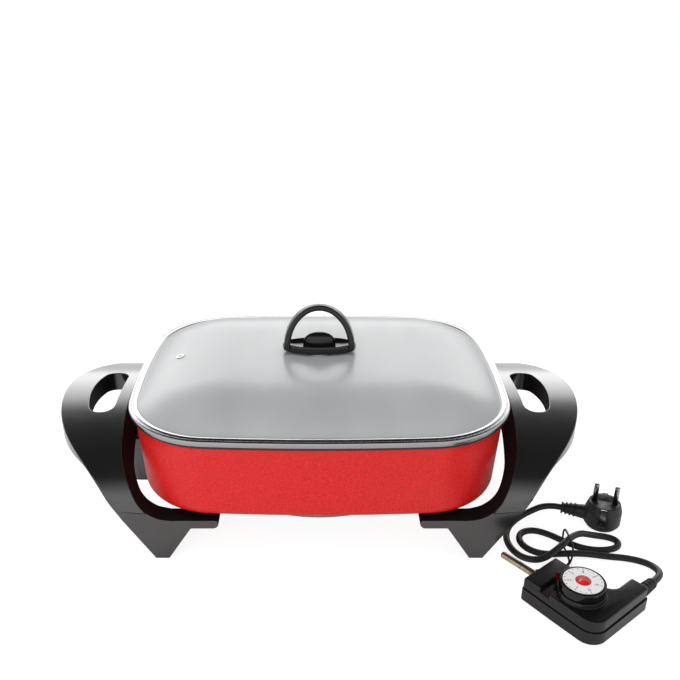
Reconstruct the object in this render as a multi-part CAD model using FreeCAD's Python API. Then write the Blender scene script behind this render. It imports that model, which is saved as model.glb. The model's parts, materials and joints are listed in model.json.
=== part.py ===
import FreeCAD, Part
import math
import os

from FreeCAD import Placement, Rotation, Vector

# Rectangular electric skillet: red cast pan on two leg handles, a lift-off glass lid and a plug-in thermostat
# control with its folded cord. Millimetres, +X along the pan, +Z up, origin on the table under the pan's
# middle.

# Fits
seat_clearance = 0.05      # round piece in the hole that holds it
rest_clearance = 0.3       # between pieces that move apart
loose_clearance = 1.0      # room round a piece that only passes through
sheet_thickness = 0.8      # pressed steel and brass strips

# Outline shared by the lid's edge and the pan: two long arcs, two end arcs and four corner arcs
rim_half_length = 180.0
rim_half_width = 146.0
corner_radius = 82.0
long_side_radius = 1600.0
end_radius = 900.0

# Pan
pan_bottom = 45.5          # underside of the pan above the table
pan_depth = 81.0
pan_wall = 2.6
pan_floor = 3.0
wall_taper = 5.5           # how far the wall leans in from top to bottom
bottom_radius = 13.0
flange_width = 3.0
flange_thickness = 4.0
lid_overhang = 2.0         # the lid's edge beyond the flange
boss_height = 2.5
boss_radius = 7.5

# Heater
plate_radius = 120.0
plate_thickness = 10.3
plate_rim = 12.0
plate_recess_drop = 0.7    # the recessed middle under the axis of the element
element_radius = 3.5
element_ring_radius = 80.0
element_bend_radius = 15.0
contact_spacing = 28.0     # between the two contact pins
contact_pin_radius = 3.0
contact_root_radius = 2.4  # the pin inside its bush
bush_radius = 4.8
probe_tube_radius = 4.6
probe_tube_length = 70.0

# Leg handles: a moulded channel that follows an arch over the pan's end
arch_half_span = 132.0
arch_crown = 110.0
crown_radius = 300.0
shoulder_radius = 60.0
channel_depth = 20.0
skin = 3.5
side_wall = 3.0
grip_reach = rim_half_length + 77.5   # outermost point of the grip from the middle
grip_plan_radius = 157.0
foot_inner = rim_half_length - 40.5
foot_outer = foot_inner + 12.5
arm_top = 42.5
arm_thickness = 9.0
arm_end = rim_half_length - 88.0
arm_foot = rim_half_length - 62.5     # where the arm's underside meets the leg's inner edge
leg_bend = (rim_half_length + 4.0, 49.5)     # where the leg's outer edge turns
leg_bend_radius = 60.0
grip_root = (rim_half_length + 32.0, 86.0)   # where the leg's outer edge meets the grip's underside
grip_root_radius = 20.0
grip_tip_height = 88.0
crotch_x = rim_half_length - 21.9     # where the arm's top meets the arch's inner edge
crotch_radius = 36.0
crotch_lean = 40.5         # how far that inner edge leans out up to the arch's top
finger_hole_inner = rim_half_length + 21.5
grip_width = 27.0
finger_hole_half_length = 43.0
finger_hole_corner = 12.0
screw_x = rim_half_length - 68.0      # leg screws from the middle
screw_y = 104.0
lug_width = 26.0
washer_thickness = 2.0
screw_radius = 2.0
screw_head_radius = 4.2
screw_head_height = 2.6

# Socket guard at the left end
guard_reach = rim_half_length + 8.0
guard_half_width = 50.0
guard_top = 82.0
guard_bottom = 32.5
guard_wall = 3.0
guard_edge = 2.5           # rounding of the guard's top edges
mouth_depth = 19.0
pin_setback = 3.0          # contact pins' tips behind the guard's face
mouth_room = 0.5           # between the control's nose and the mouth
guard_screw_x = rim_half_length - 34.0
guard_screw_y = 38.0
guard_lug_half = 8.0

# Lid
band_height = 5.4
band_width = 8.0
band_round = 1.8
skirt_depth = 6.0
skirt_thickness = 1.2
glass_edge = 3.0           # glass edge inside the band's outer face
glass_thickness = 4.0
dome_start = 9.0           # where the glass starts to rise, from the lid's edge
dome_reach = 137.0
dome_rise = 21.3
dome_rings = (9.0, 14.0, 22.0, 34.0, 50.0, 66.0, 78.0)
vent_x = 41.0 - rim_half_length
vent_hole_radius = 2.6
vent_flange_radius = 4.3

# Knob
knob_half_length = 36.0
knob_half_depth = 13.5
knob_base_height = 8.0
knob_height = 48.5
knob_strap = 6.0
dish_depth = 3.0
knob_top_width = 9.0
hub_half_length = 16.0
hub_half_depth = 9.5
hub_height = 12.0
insert_radius = 4.0
knob_screw_radius = 2.5
knob_washer_radius = 12.0
silicone_thickness = 1.4
cup_radius = 13.0
cup_thickness = 1.2

# Thermostat control, drawn with its probe along +X and laid on the table beside the pan
control_place = (219.0, -206.0)
control_turn = 129.0
nose_front = 43.0
nose_half_width = 23.0
nose_length = 18.0
trunk_left = 27.0
body_rear = -34.0
arm_inner = -15.0
arm_reach = -51.0
notch_radius = 9.0
seam_height = 13.0
lower_floor = 2.2
shell_wall = 2.2
top_height = 24.0
seam_step = 1.2
shell_edge = 1.8           # rounding of the upper shell's top edges
turret_radius = 20.0
turret_height = 28.0
trunk_drop = 4.0
lens_radius = 1.6
lens_x = 23.4
probe_radius = 3.2
probe_reach = 40.0
probe_inside = 16.0
collar_radius = 5.6
collar_length = 7.0
dial_radius = 19.0
dial_height = 8.0
dial_plate_radius = 16.5
dial_plate_thickness = 0.8
dial_cap_radius = 6.4
spindle_radius = 3.0
female_radius = 4.2
female_length = 17.0
relief_length = 22.0
relief_radius = 5.2
relief_axis_x = -24.5
relief_height = 12.0
clamp_half = 5.8

# Cord, wire tie and plug
cord_radius = 3.1
cord_arc_share = 0.45      # share of the shorter run that each bend may use
tie_wire_radius = 0.9
tie_route = (
    (197.0, -150.0, 0.0), (223.0, -146.5, 0.0), (231.5, -139.0, 0.0), (232.0, -124.0, 0.0),
    (232.0, -109.0, 0.0),
    (232.0, -108.5, 17.6), (232.0, -123.0, 18.6), (232.5, -138.0, 17.9), (233.0, -138.5, 2.4),
    (224.0, -148.8, 0.0),
    (201.0, -152.5, 0.0),
)
plug_centre = (279.0, -78.0)
plug_turn = -20.0
plug_radius = 17.5
plug_body_height = 26.0
plug_cord_height = 10.0
boot_length = 22.0
boot_radius = 8.0
plug_pin_radius = 2.4
plug_pin_root_radius = 2.0 # the pin inside the plug
plug_pin_root = 8.0
plug_pin_length = 19.0
plug_pin_spacing = 19.0

# Route of the cord between its first run from the strain relief and its last run into the plug
cord_first_run = 11.0
cord_last_run = 14.0
cord_route = (
    (305.5, -157.5, 7.0), (301.0, -143.0, 3.6), (286.0, -135.5, 3.1), (267.0, -133.0, 3.1),
    (247.0, -131.5, 5.4), (228.0, -132.0, 5.8), (209.0, -130.5, 3.3), (195.5, -122.5, 3.1),
    (190.0, -109.0, 3.1), (195.0, -96.0, 3.1), (208.5, -92.5, 3.1), (221.0, -101.5, 4.6),
    (231.5, -115.0, 6.6), (245.0, -122.6, 5.0), (260.0, -124.2, 3.1), (273.5, -123.2, 3.1),
    (282.7, -118.2, 3.1), (284.5, -109.8, 3.1), (277.3, -104.0, 3.1), (262.5, -104.2, 5.6),
    (243.0, -111.5, 14.2), (220.5, -135.0, 14.2), (204.5, -141.0, 5.0), (189.0, -136.0, 3.1),
    (180.5, -123.0, 3.1), (178.5, -107.0, 3.1), (183.0, -90.5, 3.1), (193.5, -76.5, 3.1),
    (208.5, -66.0, 5.0),
)

pan_top = pan_bottom + pan_depth
band_bottom = pan_top + rest_clearance
glass_seat = band_bottom + band_height - glass_thickness
wall_inset = lid_overhang + flange_width
plate_bottom = pan_bottom - plate_thickness
contact_height = pan_bottom - bush_radius - 4 * seat_clearance
mouth_top = contact_height + top_height - seam_height + mouth_room
mouth_bottom = contact_height - seam_height - mouth_room
mouth_half_width = nose_half_width + mouth_room
nodes = {}


def box(x0, x1, y0, y1, z0, z1):
    """Box between two corners."""
    low = Vector(min(x0, x1), min(y0, y1), min(z0, z1))
    return Part.makeBox(abs(x1 - x0), abs(y1 - y0), abs(z1 - z0), low)


def rod(radius, start, end):
    """Cylinder from one point to another."""
    a = Vector(*start)
    along = Vector(*end) - a
    return Part.makeCylinder(radius, along.Length, a, along)


def ring(outer, inner, start, end):
    """Straight tube from one point to another."""
    return rod(outer, start, end).cut(rod(inner, start, end))


def arc(p, q, r):
    """Circular edge through three points."""
    return Part.Arc(Vector(*p), Vector(*q), Vector(*r)).toShape()


def face_of(edges):
    return Part.Face(Part.Wire(edges))


def meet(p, rp, q, rq):
    """Point right of the line from p to q where circles of radius rp round p and rq round q cross."""
    dx = q[0] - p[0]
    dy = q[1] - p[1]
    d = math.hypot(dx, dy)
    along = (d * d + rp * rp - rq * rq) / (2 * d)
    off = math.sqrt(rp * rp - along * along)
    return (p[0] + (along * dx + off * dy) / d, p[1] + (along * dy - off * dx) / d)


def step_from(centre, towards, radius):
    """Point at a distance from a centre, in the direction of another point."""
    dx = towards[0] - centre[0]
    dy = towards[1] - centre[1]
    d = math.hypot(dx, dy)
    return (centre[0] + dx * radius / d, centre[1] + dy * radius / d)


def outline(inset, z):
    """Rim outline moved in by inset, at height z, as a wire of eight tangent arcs."""
    long_centre = (0.0, rim_half_width - long_side_radius)
    end_centre = (rim_half_length - end_radius, 0.0)
    corner = meet(end_centre, end_radius - corner_radius, long_centre, long_side_radius - corner_radius)
    if corner[1] < 0:
        corner = meet(long_centre, long_side_radius - corner_radius, end_centre, end_radius - corner_radius)
    on_end = step_from(end_centre, corner, end_radius - inset)
    on_long = step_from(long_centre, corner, long_side_radius - inset)
    halfway = ((on_end[0] + on_long[0]) / 2, (on_end[1] + on_long[1]) / 2)
    on_corner = step_from(corner, halfway, corner_radius - inset)
    end = (rim_half_length - inset, 0.0)
    side = (0.0, rim_half_width - inset)

    def at(point, sx, sy):
        return (sx * point[0], sy * point[1], z)

    edges = []
    for sx, sy in ((1, 1), (-1, -1)):
        edges.append(arc(at(on_end, sx, -sy), at(end, sx, sy), at(on_end, sx, sy)))
        edges.append(arc(at(on_end, sx, sy), at(on_corner, sx, sy), at(on_long, sx, sy)))
        edges.append(arc(at(on_long, sx, sy), at(side, sx, sy), at(on_long, -sx, sy)))
        edges.append(arc(at(on_long, -sx, sy), at(on_corner, -sx, sy), at(on_end, -sx, sy)))
    return Part.Wire(edges)


def slab(inset, z0, z1):
    """Flat block with the rim outline, moved in by inset."""
    return Part.Face(outline(inset, z0)).extrude(Vector(0, 0, z1 - z0))


def basin(inset_top, z_top, inset_bottom, z_bottom, radius):
    """Tapered block between two outlines, with its bottom edge rounded."""
    block = Part.makeLoft([outline(inset_bottom, z_bottom), outline(inset_top, z_top)], True, True)
    low_edges = [e for e in block.Edges if e.BoundBox.ZMax < z_bottom + 0.01]
    return block.makeFillet(radius, low_edges)


def rounded(points):
    """Corner points (u, v, radius) as a list of straight and arc pieces, each a list of (u, v)."""
    count = len(points)
    pieces = []
    ends = []
    for i, (u, v, radius) in enumerate(points):
        before = points[i - 1]
        after = points[(i + 1) % count]
        if radius == 0:
            ends.append(((u, v), (u, v)))
            continue
        a = math.atan2(before[1] - v, before[0] - u)
        b = math.atan2(after[1] - v, after[0] - u)
        half = abs((b - a + math.pi) % (2 * math.pi) - math.pi) / 2
        reach = radius / math.tan(half)
        start = (u + reach * math.cos(a), v + reach * math.sin(a))
        end = (u + reach * math.cos(b), v + reach * math.sin(b))
        middle = ((start[0] + end[0]) / 2, (start[1] + end[1]) / 2)
        centre = step_from((u, v), middle, radius / math.sin(half))
        pieces.append([start, step_from(centre, (u, v), radius), end])
        ends.append((start, end))
    for i in range(count):
        pieces.append([ends[i][1], ends[(i + 1) % count][0]])
    return pieces


def profile(points, place):
    """Closed face from corner points, put in space by place(u, v)."""
    edges = []
    for piece in rounded(points):
        spots = [Vector(*place(*spot)) for spot in piece]
        if len(spots) == 3:
            edges.append(Part.Arc(*spots).toShape())
        elif (spots[1] - spots[0]).Length > 1e-6:
            edges.append(Part.LineSegment(*spots).toShape())
    return Part.Face(Part.Wire(Part.__sortEdges__(edges)))


def flat(points, z0, z1):
    """Block with a plan outline of corner points."""
    return profile(points, lambda u, v: (u, v, z0)).extrude(Vector(0, 0, z1 - z0))


def turned(points):
    """Solid of revolution about Z from corner points (radius, height, rounding)."""
    return profile(points, lambda u, v: (u, 0, v)).revolve(Vector(0, 0, 0), Vector(0, 0, 1), 360)


def soften_top(shape, radius):
    """Rounds the edges of the shape's flat top."""
    return shape.makeFillet(radius, [e for e in shape.Edges if e.BoundBox.ZMin > shape.BoundBox.ZMax - 0.01])


def tube(edges, radius, side_on):
    """Round tube along tangent edges, side_on is the first edge's direction."""
    path = Part.Wire(edges)
    start = path.OrderedVertexes[0].Point
    section = Part.Wire([Part.Circle(start, side_on, radius).toShape()])
    shell = Part.BRepOffsetAPI.MakePipeShell(path)
    shell.add(section)
    shell.build()
    shell.makeSolid()
    return shell.shape()


def keep(name, shape):
    """Notes a finished piece, with coincident faces merged."""
    nodes[name] = shape.removeSplitter()


# Pan and heater

def leg_screw_spots():
    return [(sx * screw_x, sy * screw_y) for sx in (1, -1) for sy in (1, -1)]


def guard_screw_spots():
    return [(-guard_screw_x, sy * guard_screw_y) for sy in (1, -1)]


def pan():
    outer = basin(wall_inset, pan_top, wall_inset + wall_taper, pan_bottom, bottom_radius)
    inner = basin(wall_inset + pan_wall, pan_top, wall_inset + pan_wall + wall_taper, pan_bottom + pan_floor,
                  bottom_radius - pan_wall)
    body = outer.fuse(slab(lid_overhang, pan_top - flange_thickness, pan_top))
    for x, y in leg_screw_spots() + guard_screw_spots():
        boss_end = pan_bottom + pan_floor / 2
        body = body.fuse(rod(boss_radius, (x, y, pan_bottom - boss_height), (x, y, boss_end)))
    body = body.cut(inner)
    for x, y in leg_screw_spots() + guard_screw_spots():
        hole_top = pan_bottom + pan_floor / 2
        hole_start = (x, y, pan_bottom - boss_height)
        body = body.cut(rod(screw_radius + seat_clearance, hole_start, (x, y, hole_top)))
    keep("pan", body)


def element_path():
    """Centre line of the heating element: a lead, a ring and a lead."""
    half = contact_spacing / 2
    bend_y = half + element_bend_radius
    bend_x = -math.sqrt((element_ring_radius + element_bend_radius) ** 2 - bend_y ** 2)
    join = step_from((0, 0), (bend_x, bend_y), element_ring_radius)
    tilt = (math.atan2(-bend_y, -bend_x) - math.pi / 2) / 2
    middle = (bend_x + element_bend_radius * math.cos(tilt), bend_y + element_bend_radius * math.sin(tilt))
    z = contact_height
    lead_end = -guard_reach + mouth_depth + 2 * guard_wall
    return [
        Part.LineSegment(Vector(lead_end, half, z), Vector(bend_x, half, z)).toShape(),
        arc((bend_x, half, z), (*middle, z), (*join, z)),
        arc((*join, z), (element_ring_radius, 0, z), (join[0], -join[1], z)),
        arc((join[0], -join[1], z), (middle[0], -middle[1], z), (bend_x, -half, z)),
        Part.LineSegment(Vector(bend_x, -half, z), Vector(lead_end, -half, z)).toShape(),
    ]


def heater():
    inside = plate_radius - plate_rim
    recess = contact_height - plate_recess_drop
    plate = turned([(0, recess, 0), (inside - 3, recess, 2), (inside, plate_bottom, 2),
                    (plate_radius - 2, plate_bottom, 2.5), (plate_radius, pan_bottom, 0), (0, pan_bottom, 0)])
    groove = tube(element_path(), element_radius + seat_clearance, Vector(1, 0, 0))
    tunnel = rod(probe_tube_radius + seat_clearance, (-plate_radius - 5, 0, contact_height),
                 (-guard_reach + mouth_depth + probe_tube_length + loose_clearance, 0, contact_height))
    keep("heater_plate", plate.cut(groove).cut(tunnel))
    keep("heating_element", tube(element_path(), element_radius, Vector(1, 0, 0)))


def socket_contacts():
    """Contact pins, their bushes, the probe tube and the earth strip."""
    half = contact_spacing / 2
    z = contact_height
    back = -guard_reach + mouth_depth
    lead_end = back + 2 * guard_wall
    bush_front = back - 2
    pins = []
    bushes = []
    for y in (half, -half):
        tip = -guard_reach + pin_setback
        pin = rod(contact_pin_radius, (tip, y, z), (bush_front, y, z))
        pin = pin.makeFillet(1.2, [e for e in pin.Edges if e.BoundBox.XMax < tip + 0.01])
        pins.append(pin.fuse(rod(contact_root_radius, (bush_front, y, z), (lead_end, y, z))))
        bore = contact_root_radius + seat_clearance
        bushes.append(ring(bush_radius, bore, (bush_front, y, z), (lead_end, y, z)))
    keep("contact_pins", Part.makeCompound(pins))
    keep("ceramic_bushes", Part.makeCompound(bushes))
    far_end = (back + probe_tube_length, 0, z)
    keep("probe_tube", ring(probe_tube_radius, probe_radius + 0.4, (back, 0, z), far_end))
    top = mouth_top
    strip = box(back - 14, back, -5, 5, top - sheet_thickness, top)
    keep("earth_contact", strip.fuse(box(back - sheet_thickness, back, -5, 5, top - 4, top)))


# Socket guard

def guard():
    """Moulded shroud between the pan's left end and the handle, with the control's socket in it."""
    back = -guard_reach + mouth_depth
    z = contact_height
    inner_end = -guard_screw_x + guard_lug_half
    block = flat([(-guard_reach, -guard_half_width, 8), (inner_end, -guard_half_width, 0),
                  (inner_end, guard_half_width, 0), (-guard_reach, guard_half_width, 8)],
                 guard_bottom, guard_top)
    block = soften_top(block, guard_edge)
    cavity = flat([(-guard_reach + guard_wall, -guard_half_width + guard_wall, 5),
                   (inner_end + 1, -guard_half_width + guard_wall, 0),
                   (inner_end + 1, guard_half_width - guard_wall, 0),
                   (-guard_reach + guard_wall, guard_half_width - guard_wall, 5)],
                  guard_bottom + guard_wall, guard_top - guard_wall)
    sleeve = box(-guard_reach, back + 2 * guard_wall, -mouth_half_width - guard_wall, mouth_half_width + guard_wall,
                 mouth_bottom - guard_wall, mouth_top + guard_wall)
    mouth = box(-guard_reach - 1, back, -mouth_half_width, mouth_half_width, mouth_bottom, mouth_top)
    body = block.cut(cavity).fuse(sleeve).cut(mouth)
    body = body.cut(box(-guard_screw_x - guard_lug_half, 0, -guard_half_width - 1, guard_half_width + 1,
                        guard_bottom - 1, pan_bottom - boss_height - 8))
    for sy in (1, -1):
        y0 = sy * (guard_screw_y - guard_lug_half)
        y1 = sy * (guard_screw_y + guard_lug_half)
        body = body.fuse(box(-guard_screw_x - 2 * guard_lug_half, inner_end, y0, y1,
                             pan_bottom - boss_height - 8, pan_bottom - boss_height))
    for y in (contact_spacing / 2, -contact_spacing / 2):
        body = body.cut(rod(bush_radius + seat_clearance, (back - 1, y, z), (0, y, z)))
    body = body.cut(rod(probe_tube_radius + seat_clearance, (back - 1, 0, z), (0, 0, z)))
    pan_room = basin(wall_inset - loose_clearance, pan_top, wall_inset + wall_taper - loose_clearance, pan_bottom,
                     bottom_radius)
    body = body.cut(pan_room)
    screws = []
    for x, y in guard_screw_spots():
        head = pan_bottom - boss_height - 8
        boss_start = (x, y, pan_bottom - boss_height)
        body = body.cut(rod(boss_radius + rest_clearance, boss_start, (x, y, pan_bottom)))
        body = body.cut(rod(screw_radius + seat_clearance, (x, y, head - 1), (x, y, pan_bottom)))
        screws.append(screw((x, y), head, pan_bottom + pan_floor / 2 - 0.3))
    keep("socket_guard", body)
    keep("guard_screws", Part.makeCompound(screws))


def screw(spot, head_top, tip):
    """Pan-head screw pointing up, head_top is the face under which its head lies."""
    x, y = spot
    shaft = rod(screw_radius, (x, y, head_top), (x, y, tip))
    head = rod(screw_head_radius, (x, y, head_top - screw_head_height), (x, y, head_top))
    rim = [e for e in head.Edges if e.BoundBox.ZMax < head_top - screw_head_height + 0.01]
    head = head.makeFillet(1.2, rim)
    slot = box(x - 2.6, x + 2.6, y - 0.45, y + 0.45, head_top - screw_head_height - 1, head_top - 1.4)
    return head.fuse(shaft).cut(slot)


# Leg handles

def arch_block(offset, foot, x0, x1):
    """Everything under the arch, offset inwards, between two planes across the pan."""
    centre_y = arch_half_span - shoulder_radius
    centre_drop = math.sqrt((crown_radius - shoulder_radius) ** 2 - centre_y ** 2)
    crown_centre = (0.0, arch_crown - crown_radius)
    shoulder = (centre_y, crown_centre[1] + centre_drop)
    join = step_from(crown_centre, shoulder, crown_radius - offset)
    side = arch_half_span - offset
    knee = (side, shoulder[1])
    bow = step_from(shoulder, ((join[0] + knee[0]) / 2, (join[1] + knee[1]) / 2), shoulder_radius - offset)

    def at(point, sign=1):
        return (x0, sign * point[0], point[1])

    def line(p, q):
        return Part.LineSegment(Vector(*p), Vector(*q)).toShape()

    edges = [
        line((x0, side, foot), at(knee)),
        arc(at(knee), at(bow), at(join)),
        arc(at(join), (x0, 0, arch_crown - offset), at(join, -1)),
        arc(at(join, -1), at(bow, -1), at(knee, -1)),
        line(at(knee, -1), (x0, -side, foot)),
        line((x0, -side, foot), (x0, side, foot)),
    ]
    return face_of(edges).extrude(Vector(x1 - x0, 0, 0))


def arch_band(offset, depth):
    """The arch as a band of a given depth, starting offset inside its outer face."""
    near = arm_end - 10
    far = grip_reach + 10
    return arch_block(offset, 0, near, far).cut(arch_block(offset + depth, -1, near - 1, far + 1))


def front_mask(inset):
    """Block with the handle's outline seen from the front, moved in by inset."""
    reach = grip_reach + 12
    arm_bottom = arm_top - arm_thickness
    corners = [
        (foot_inner, 0.0, 0), (foot_outer, 0.0, 0), (*leg_bend, leg_bend_radius),
        (*grip_root, grip_root_radius),
        (reach, grip_tip_height, 0), (reach, arch_crown + 20, 0),
        (crotch_x + crotch_lean, arch_crown + 20, 0),
        (crotch_x, arm_top, crotch_radius), (arm_end, arm_top, 3.0), (arm_end, arm_bottom, 5.0),
        (arm_foot, arm_bottom, 2.0),
    ]
    face = profile(corners, lambda u, v: (u, -arch_half_span - 5, v))
    if inset:
        face = face.makeOffset2D(-inset)
    return face.extrude(Vector(0, 2 * arch_half_span + 10, 0))


def plan_mask(inset):
    """Round block that bounds the grip seen from above."""
    return Part.makeCylinder(grip_plan_radius - inset, arch_crown + 20,
                             Vector(grip_reach - grip_plan_radius, 0, -5))


def finger_hole(grow):
    """Block through the grip for the fingers, grown all round."""
    inner = finger_hole_inner - grow
    half = finger_hole_half_length + grow
    hole = box(inner, grip_reach, -half, half, arch_crown / 2, arch_crown + 20)
    hole = hole.common(plan_mask(grip_width - grow))
    uprights = [e for e in hole.Edges if e.BoundBox.ZLength > 10 and e.BoundBox.XLength < 0.01]
    return hole.makeFillet(finger_hole_corner + grow, uprights)


def leg_lug(sign):
    """Block behind the arm that takes the leg screw, on the front or rear leg."""
    y0 = sign * (screw_y - lug_width / 2 + 3)
    y1 = sign * (arch_half_span - channel_depth / 2)
    x0 = screw_x - lug_width / 2
    x1 = screw_x + lug_width / 2
    corners = [(x0, y0, 5), (x1, y0, 5), (x1, y1, 0), (x0, y1, 0)]
    return flat(corners, arm_top - arm_thickness, pan_bottom - boss_height - washer_thickness)


def right_handle():
    """Arch-shaped leg handle: outer skin, side walls, ribs, finger hole and screw lugs."""
    body = arch_band(0, channel_depth).common(front_mask(0)).common(plan_mask(0))
    pocket = arch_band(skin, channel_depth + 5).common(front_mask(side_wall)).common(plan_mask(side_wall))
    pocket = pocket.cut(finger_hole(side_wall))
    for height in (18.0, 58.0):
        rib = box(foot_inner - 10, grip_reach, -arch_half_span, arch_half_span, height, height + 2.4)
        pocket = pocket.cut(rib)
    body = body.cut(pocket).cut(finger_hole(0))
    for sign in (1, -1):
        body = body.fuse(leg_lug(sign))
    for sign in (1, -1):
        spot = (screw_x, sign * screw_y)
        low = arm_top - arm_thickness
        lug_top = pan_bottom - boss_height - washer_thickness
        body = body.cut(rod(boss_radius + rest_clearance, (*spot, lug_top), (*spot, pan_bottom)))
        body = body.cut(rod(screw_radius + seat_clearance, (*spot, low - 1), (*spot, pan_bottom)))
        body = body.cut(rod(screw_head_radius + 1, (*spot, low - 1), (*spot, low + 3)))
    return body


def handles():
    handle = right_handle()
    keep("handle_right", handle)
    keep("handle_left", handle.mirror(Vector(0, 0, 0), Vector(1, 0, 0)))
    washers = []
    spring_washers = []
    screws = []
    head = arm_top - arm_thickness + 3
    lug_top = pan_bottom - boss_height - washer_thickness
    for x, y in leg_screw_spots():
        washer_top = (x, y, lug_top + washer_thickness)
        washers.append(ring(boss_radius, screw_radius + 0.4, (x, y, lug_top), washer_top))
        washer_start = (x, y, head - 0.9)
        spring_washers.append(ring(screw_head_radius - 0.2, screw_radius + 0.2, washer_start, (x, y, head)))
        screws.append(screw((x, y), head - 0.9, pan_bottom + pan_floor / 2 - 0.3))
    keep("heat_washers", Part.makeCompound(washers))
    keep("spring_washers", Part.makeCompound(spring_washers))
    keep("leg_screws", Part.makeCompound(screws))


# Lid

def dome_height(inset):
    """Height of the glass above its flat edge, at a distance inside the lid's edge."""
    left = 1 - (inset - dome_start) / dome_reach
    return dome_rise * (1 - left ** 4)


def dome(base):
    """Domed block whose edge lies at height base."""
    rings = [outline(inset, base + dome_height(inset)) for inset in dome_rings]
    return Part.makeLoft(rings, True, False)


def vent_axis():
    """Point on the glass's top at the vent, and the outward direction there."""
    inset = rim_half_length + vent_x
    slope = (dome_height(inset + 1) - dome_height(inset - 1)) / 2
    point = Vector(vent_x, 0, glass_seat + glass_thickness + dome_height(inset))
    up = Vector(-slope, 0, 1)
    return point, up.normalize()


def glass_lid():
    top = glass_seat + glass_thickness
    body = slab(glass_edge, glass_seat, top).fuse(dome(top)).cut(dome(glass_seat))
    point, up = vent_axis()
    body = body.cut(Part.makeCylinder(vent_hole_radius + seat_clearance, 20, point - up * 10, up))
    body = body.cut(rod(insert_radius, (0, 0, top), (0, 0, top + 2 * dome_rise)))
    keep("lid_glass", body)
    foot = point - up * (glass_thickness + 0.7)
    eyelet = Part.makeCylinder(vent_hole_radius, glass_thickness + 1.4, foot, up)
    for low in (0.0, -glass_thickness - 0.7):
        eyelet = eyelet.fuse(Part.makeCylinder(vent_flange_radius, 0.7, point + up * low, up))
    bore = Part.makeCylinder(vent_hole_radius - 0.7, 20, point - up * 10, up)
    keep("vent_eyelet", eyelet.cut(bore))


def lid_band():
    """Steel band round the glass, with a skirt that hangs inside the pan."""
    top = band_bottom + band_height
    skirt_inset = wall_inset + pan_wall + loose_clearance
    outer = slab(0, band_bottom, top)
    rim = [e for e in outer.Edges if e.BoundBox.ZMin > top - 0.01]
    outer = outer.makeFillet(band_round, rim)
    band = outer.cut(slab(dome_start, band_bottom - 1, top + 1))
    plate = slab(band_width - 2, band_bottom, glass_seat).cut(slab(skirt_inset + skirt_thickness, 0, 200))
    skirt = slab(skirt_inset, band_bottom - skirt_depth, glass_seat)
    skirt = skirt.cut(slab(skirt_inset + skirt_thickness, 0, 200))
    keep("lid_band", band.fuse(plate).fuse(skirt).cut(slab(glass_edge, glass_seat, top + 1)).fuse(lip()))


def lip():
    """Thin lip of the band that folds over the glass's edge."""
    top = band_bottom + band_height
    fold = slab(0, top, top + sheet_thickness)
    rim = [e for e in fold.Edges if e.BoundBox.ZMin > top + sheet_thickness - 0.01]
    return fold.makeFillet(sheet_thickness / 2, rim).cut(slab(band_width, top - 1, top + 5))


def ellipse_block(half_x, half_y, z0, z1):
    curve = Part.Ellipse(Vector(0, 0, z0), half_x, half_y).toShape()
    return Part.Face(Part.Wire([curve])).extrude(Vector(0, 0, z1 - z0))


def ellipse_ring(half_x, half_y, z):
    return Part.Wire([Part.Ellipse(Vector(0, 0, z), half_x, half_y).toShape()])


def knob_base_height_of_glass():
    """Top of the glass in the lid's middle."""
    return glass_seat + glass_thickness + dome_height(dome_rings[-1])


def upright_ellipse(half_x, height, z):
    """Block across the lid with an upright half-ellipse outline."""
    base = Part.Ellipse(Vector(0, 0, 0), max(half_x, height), min(half_x, height))
    curve = base.toShape()
    face = Part.Face(Part.Wire([curve]))
    if height > half_x:
        face.rotate(Vector(0, 0, 0), Vector(0, 0, 1), 90)
    face.rotate(Vector(0, 0, 0), Vector(1, 0, 0), 90)
    face.translate(Vector(0, knob_half_depth + 1, z))
    return face.extrude(Vector(0, -2 * knob_half_depth - 2, 0))


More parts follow.
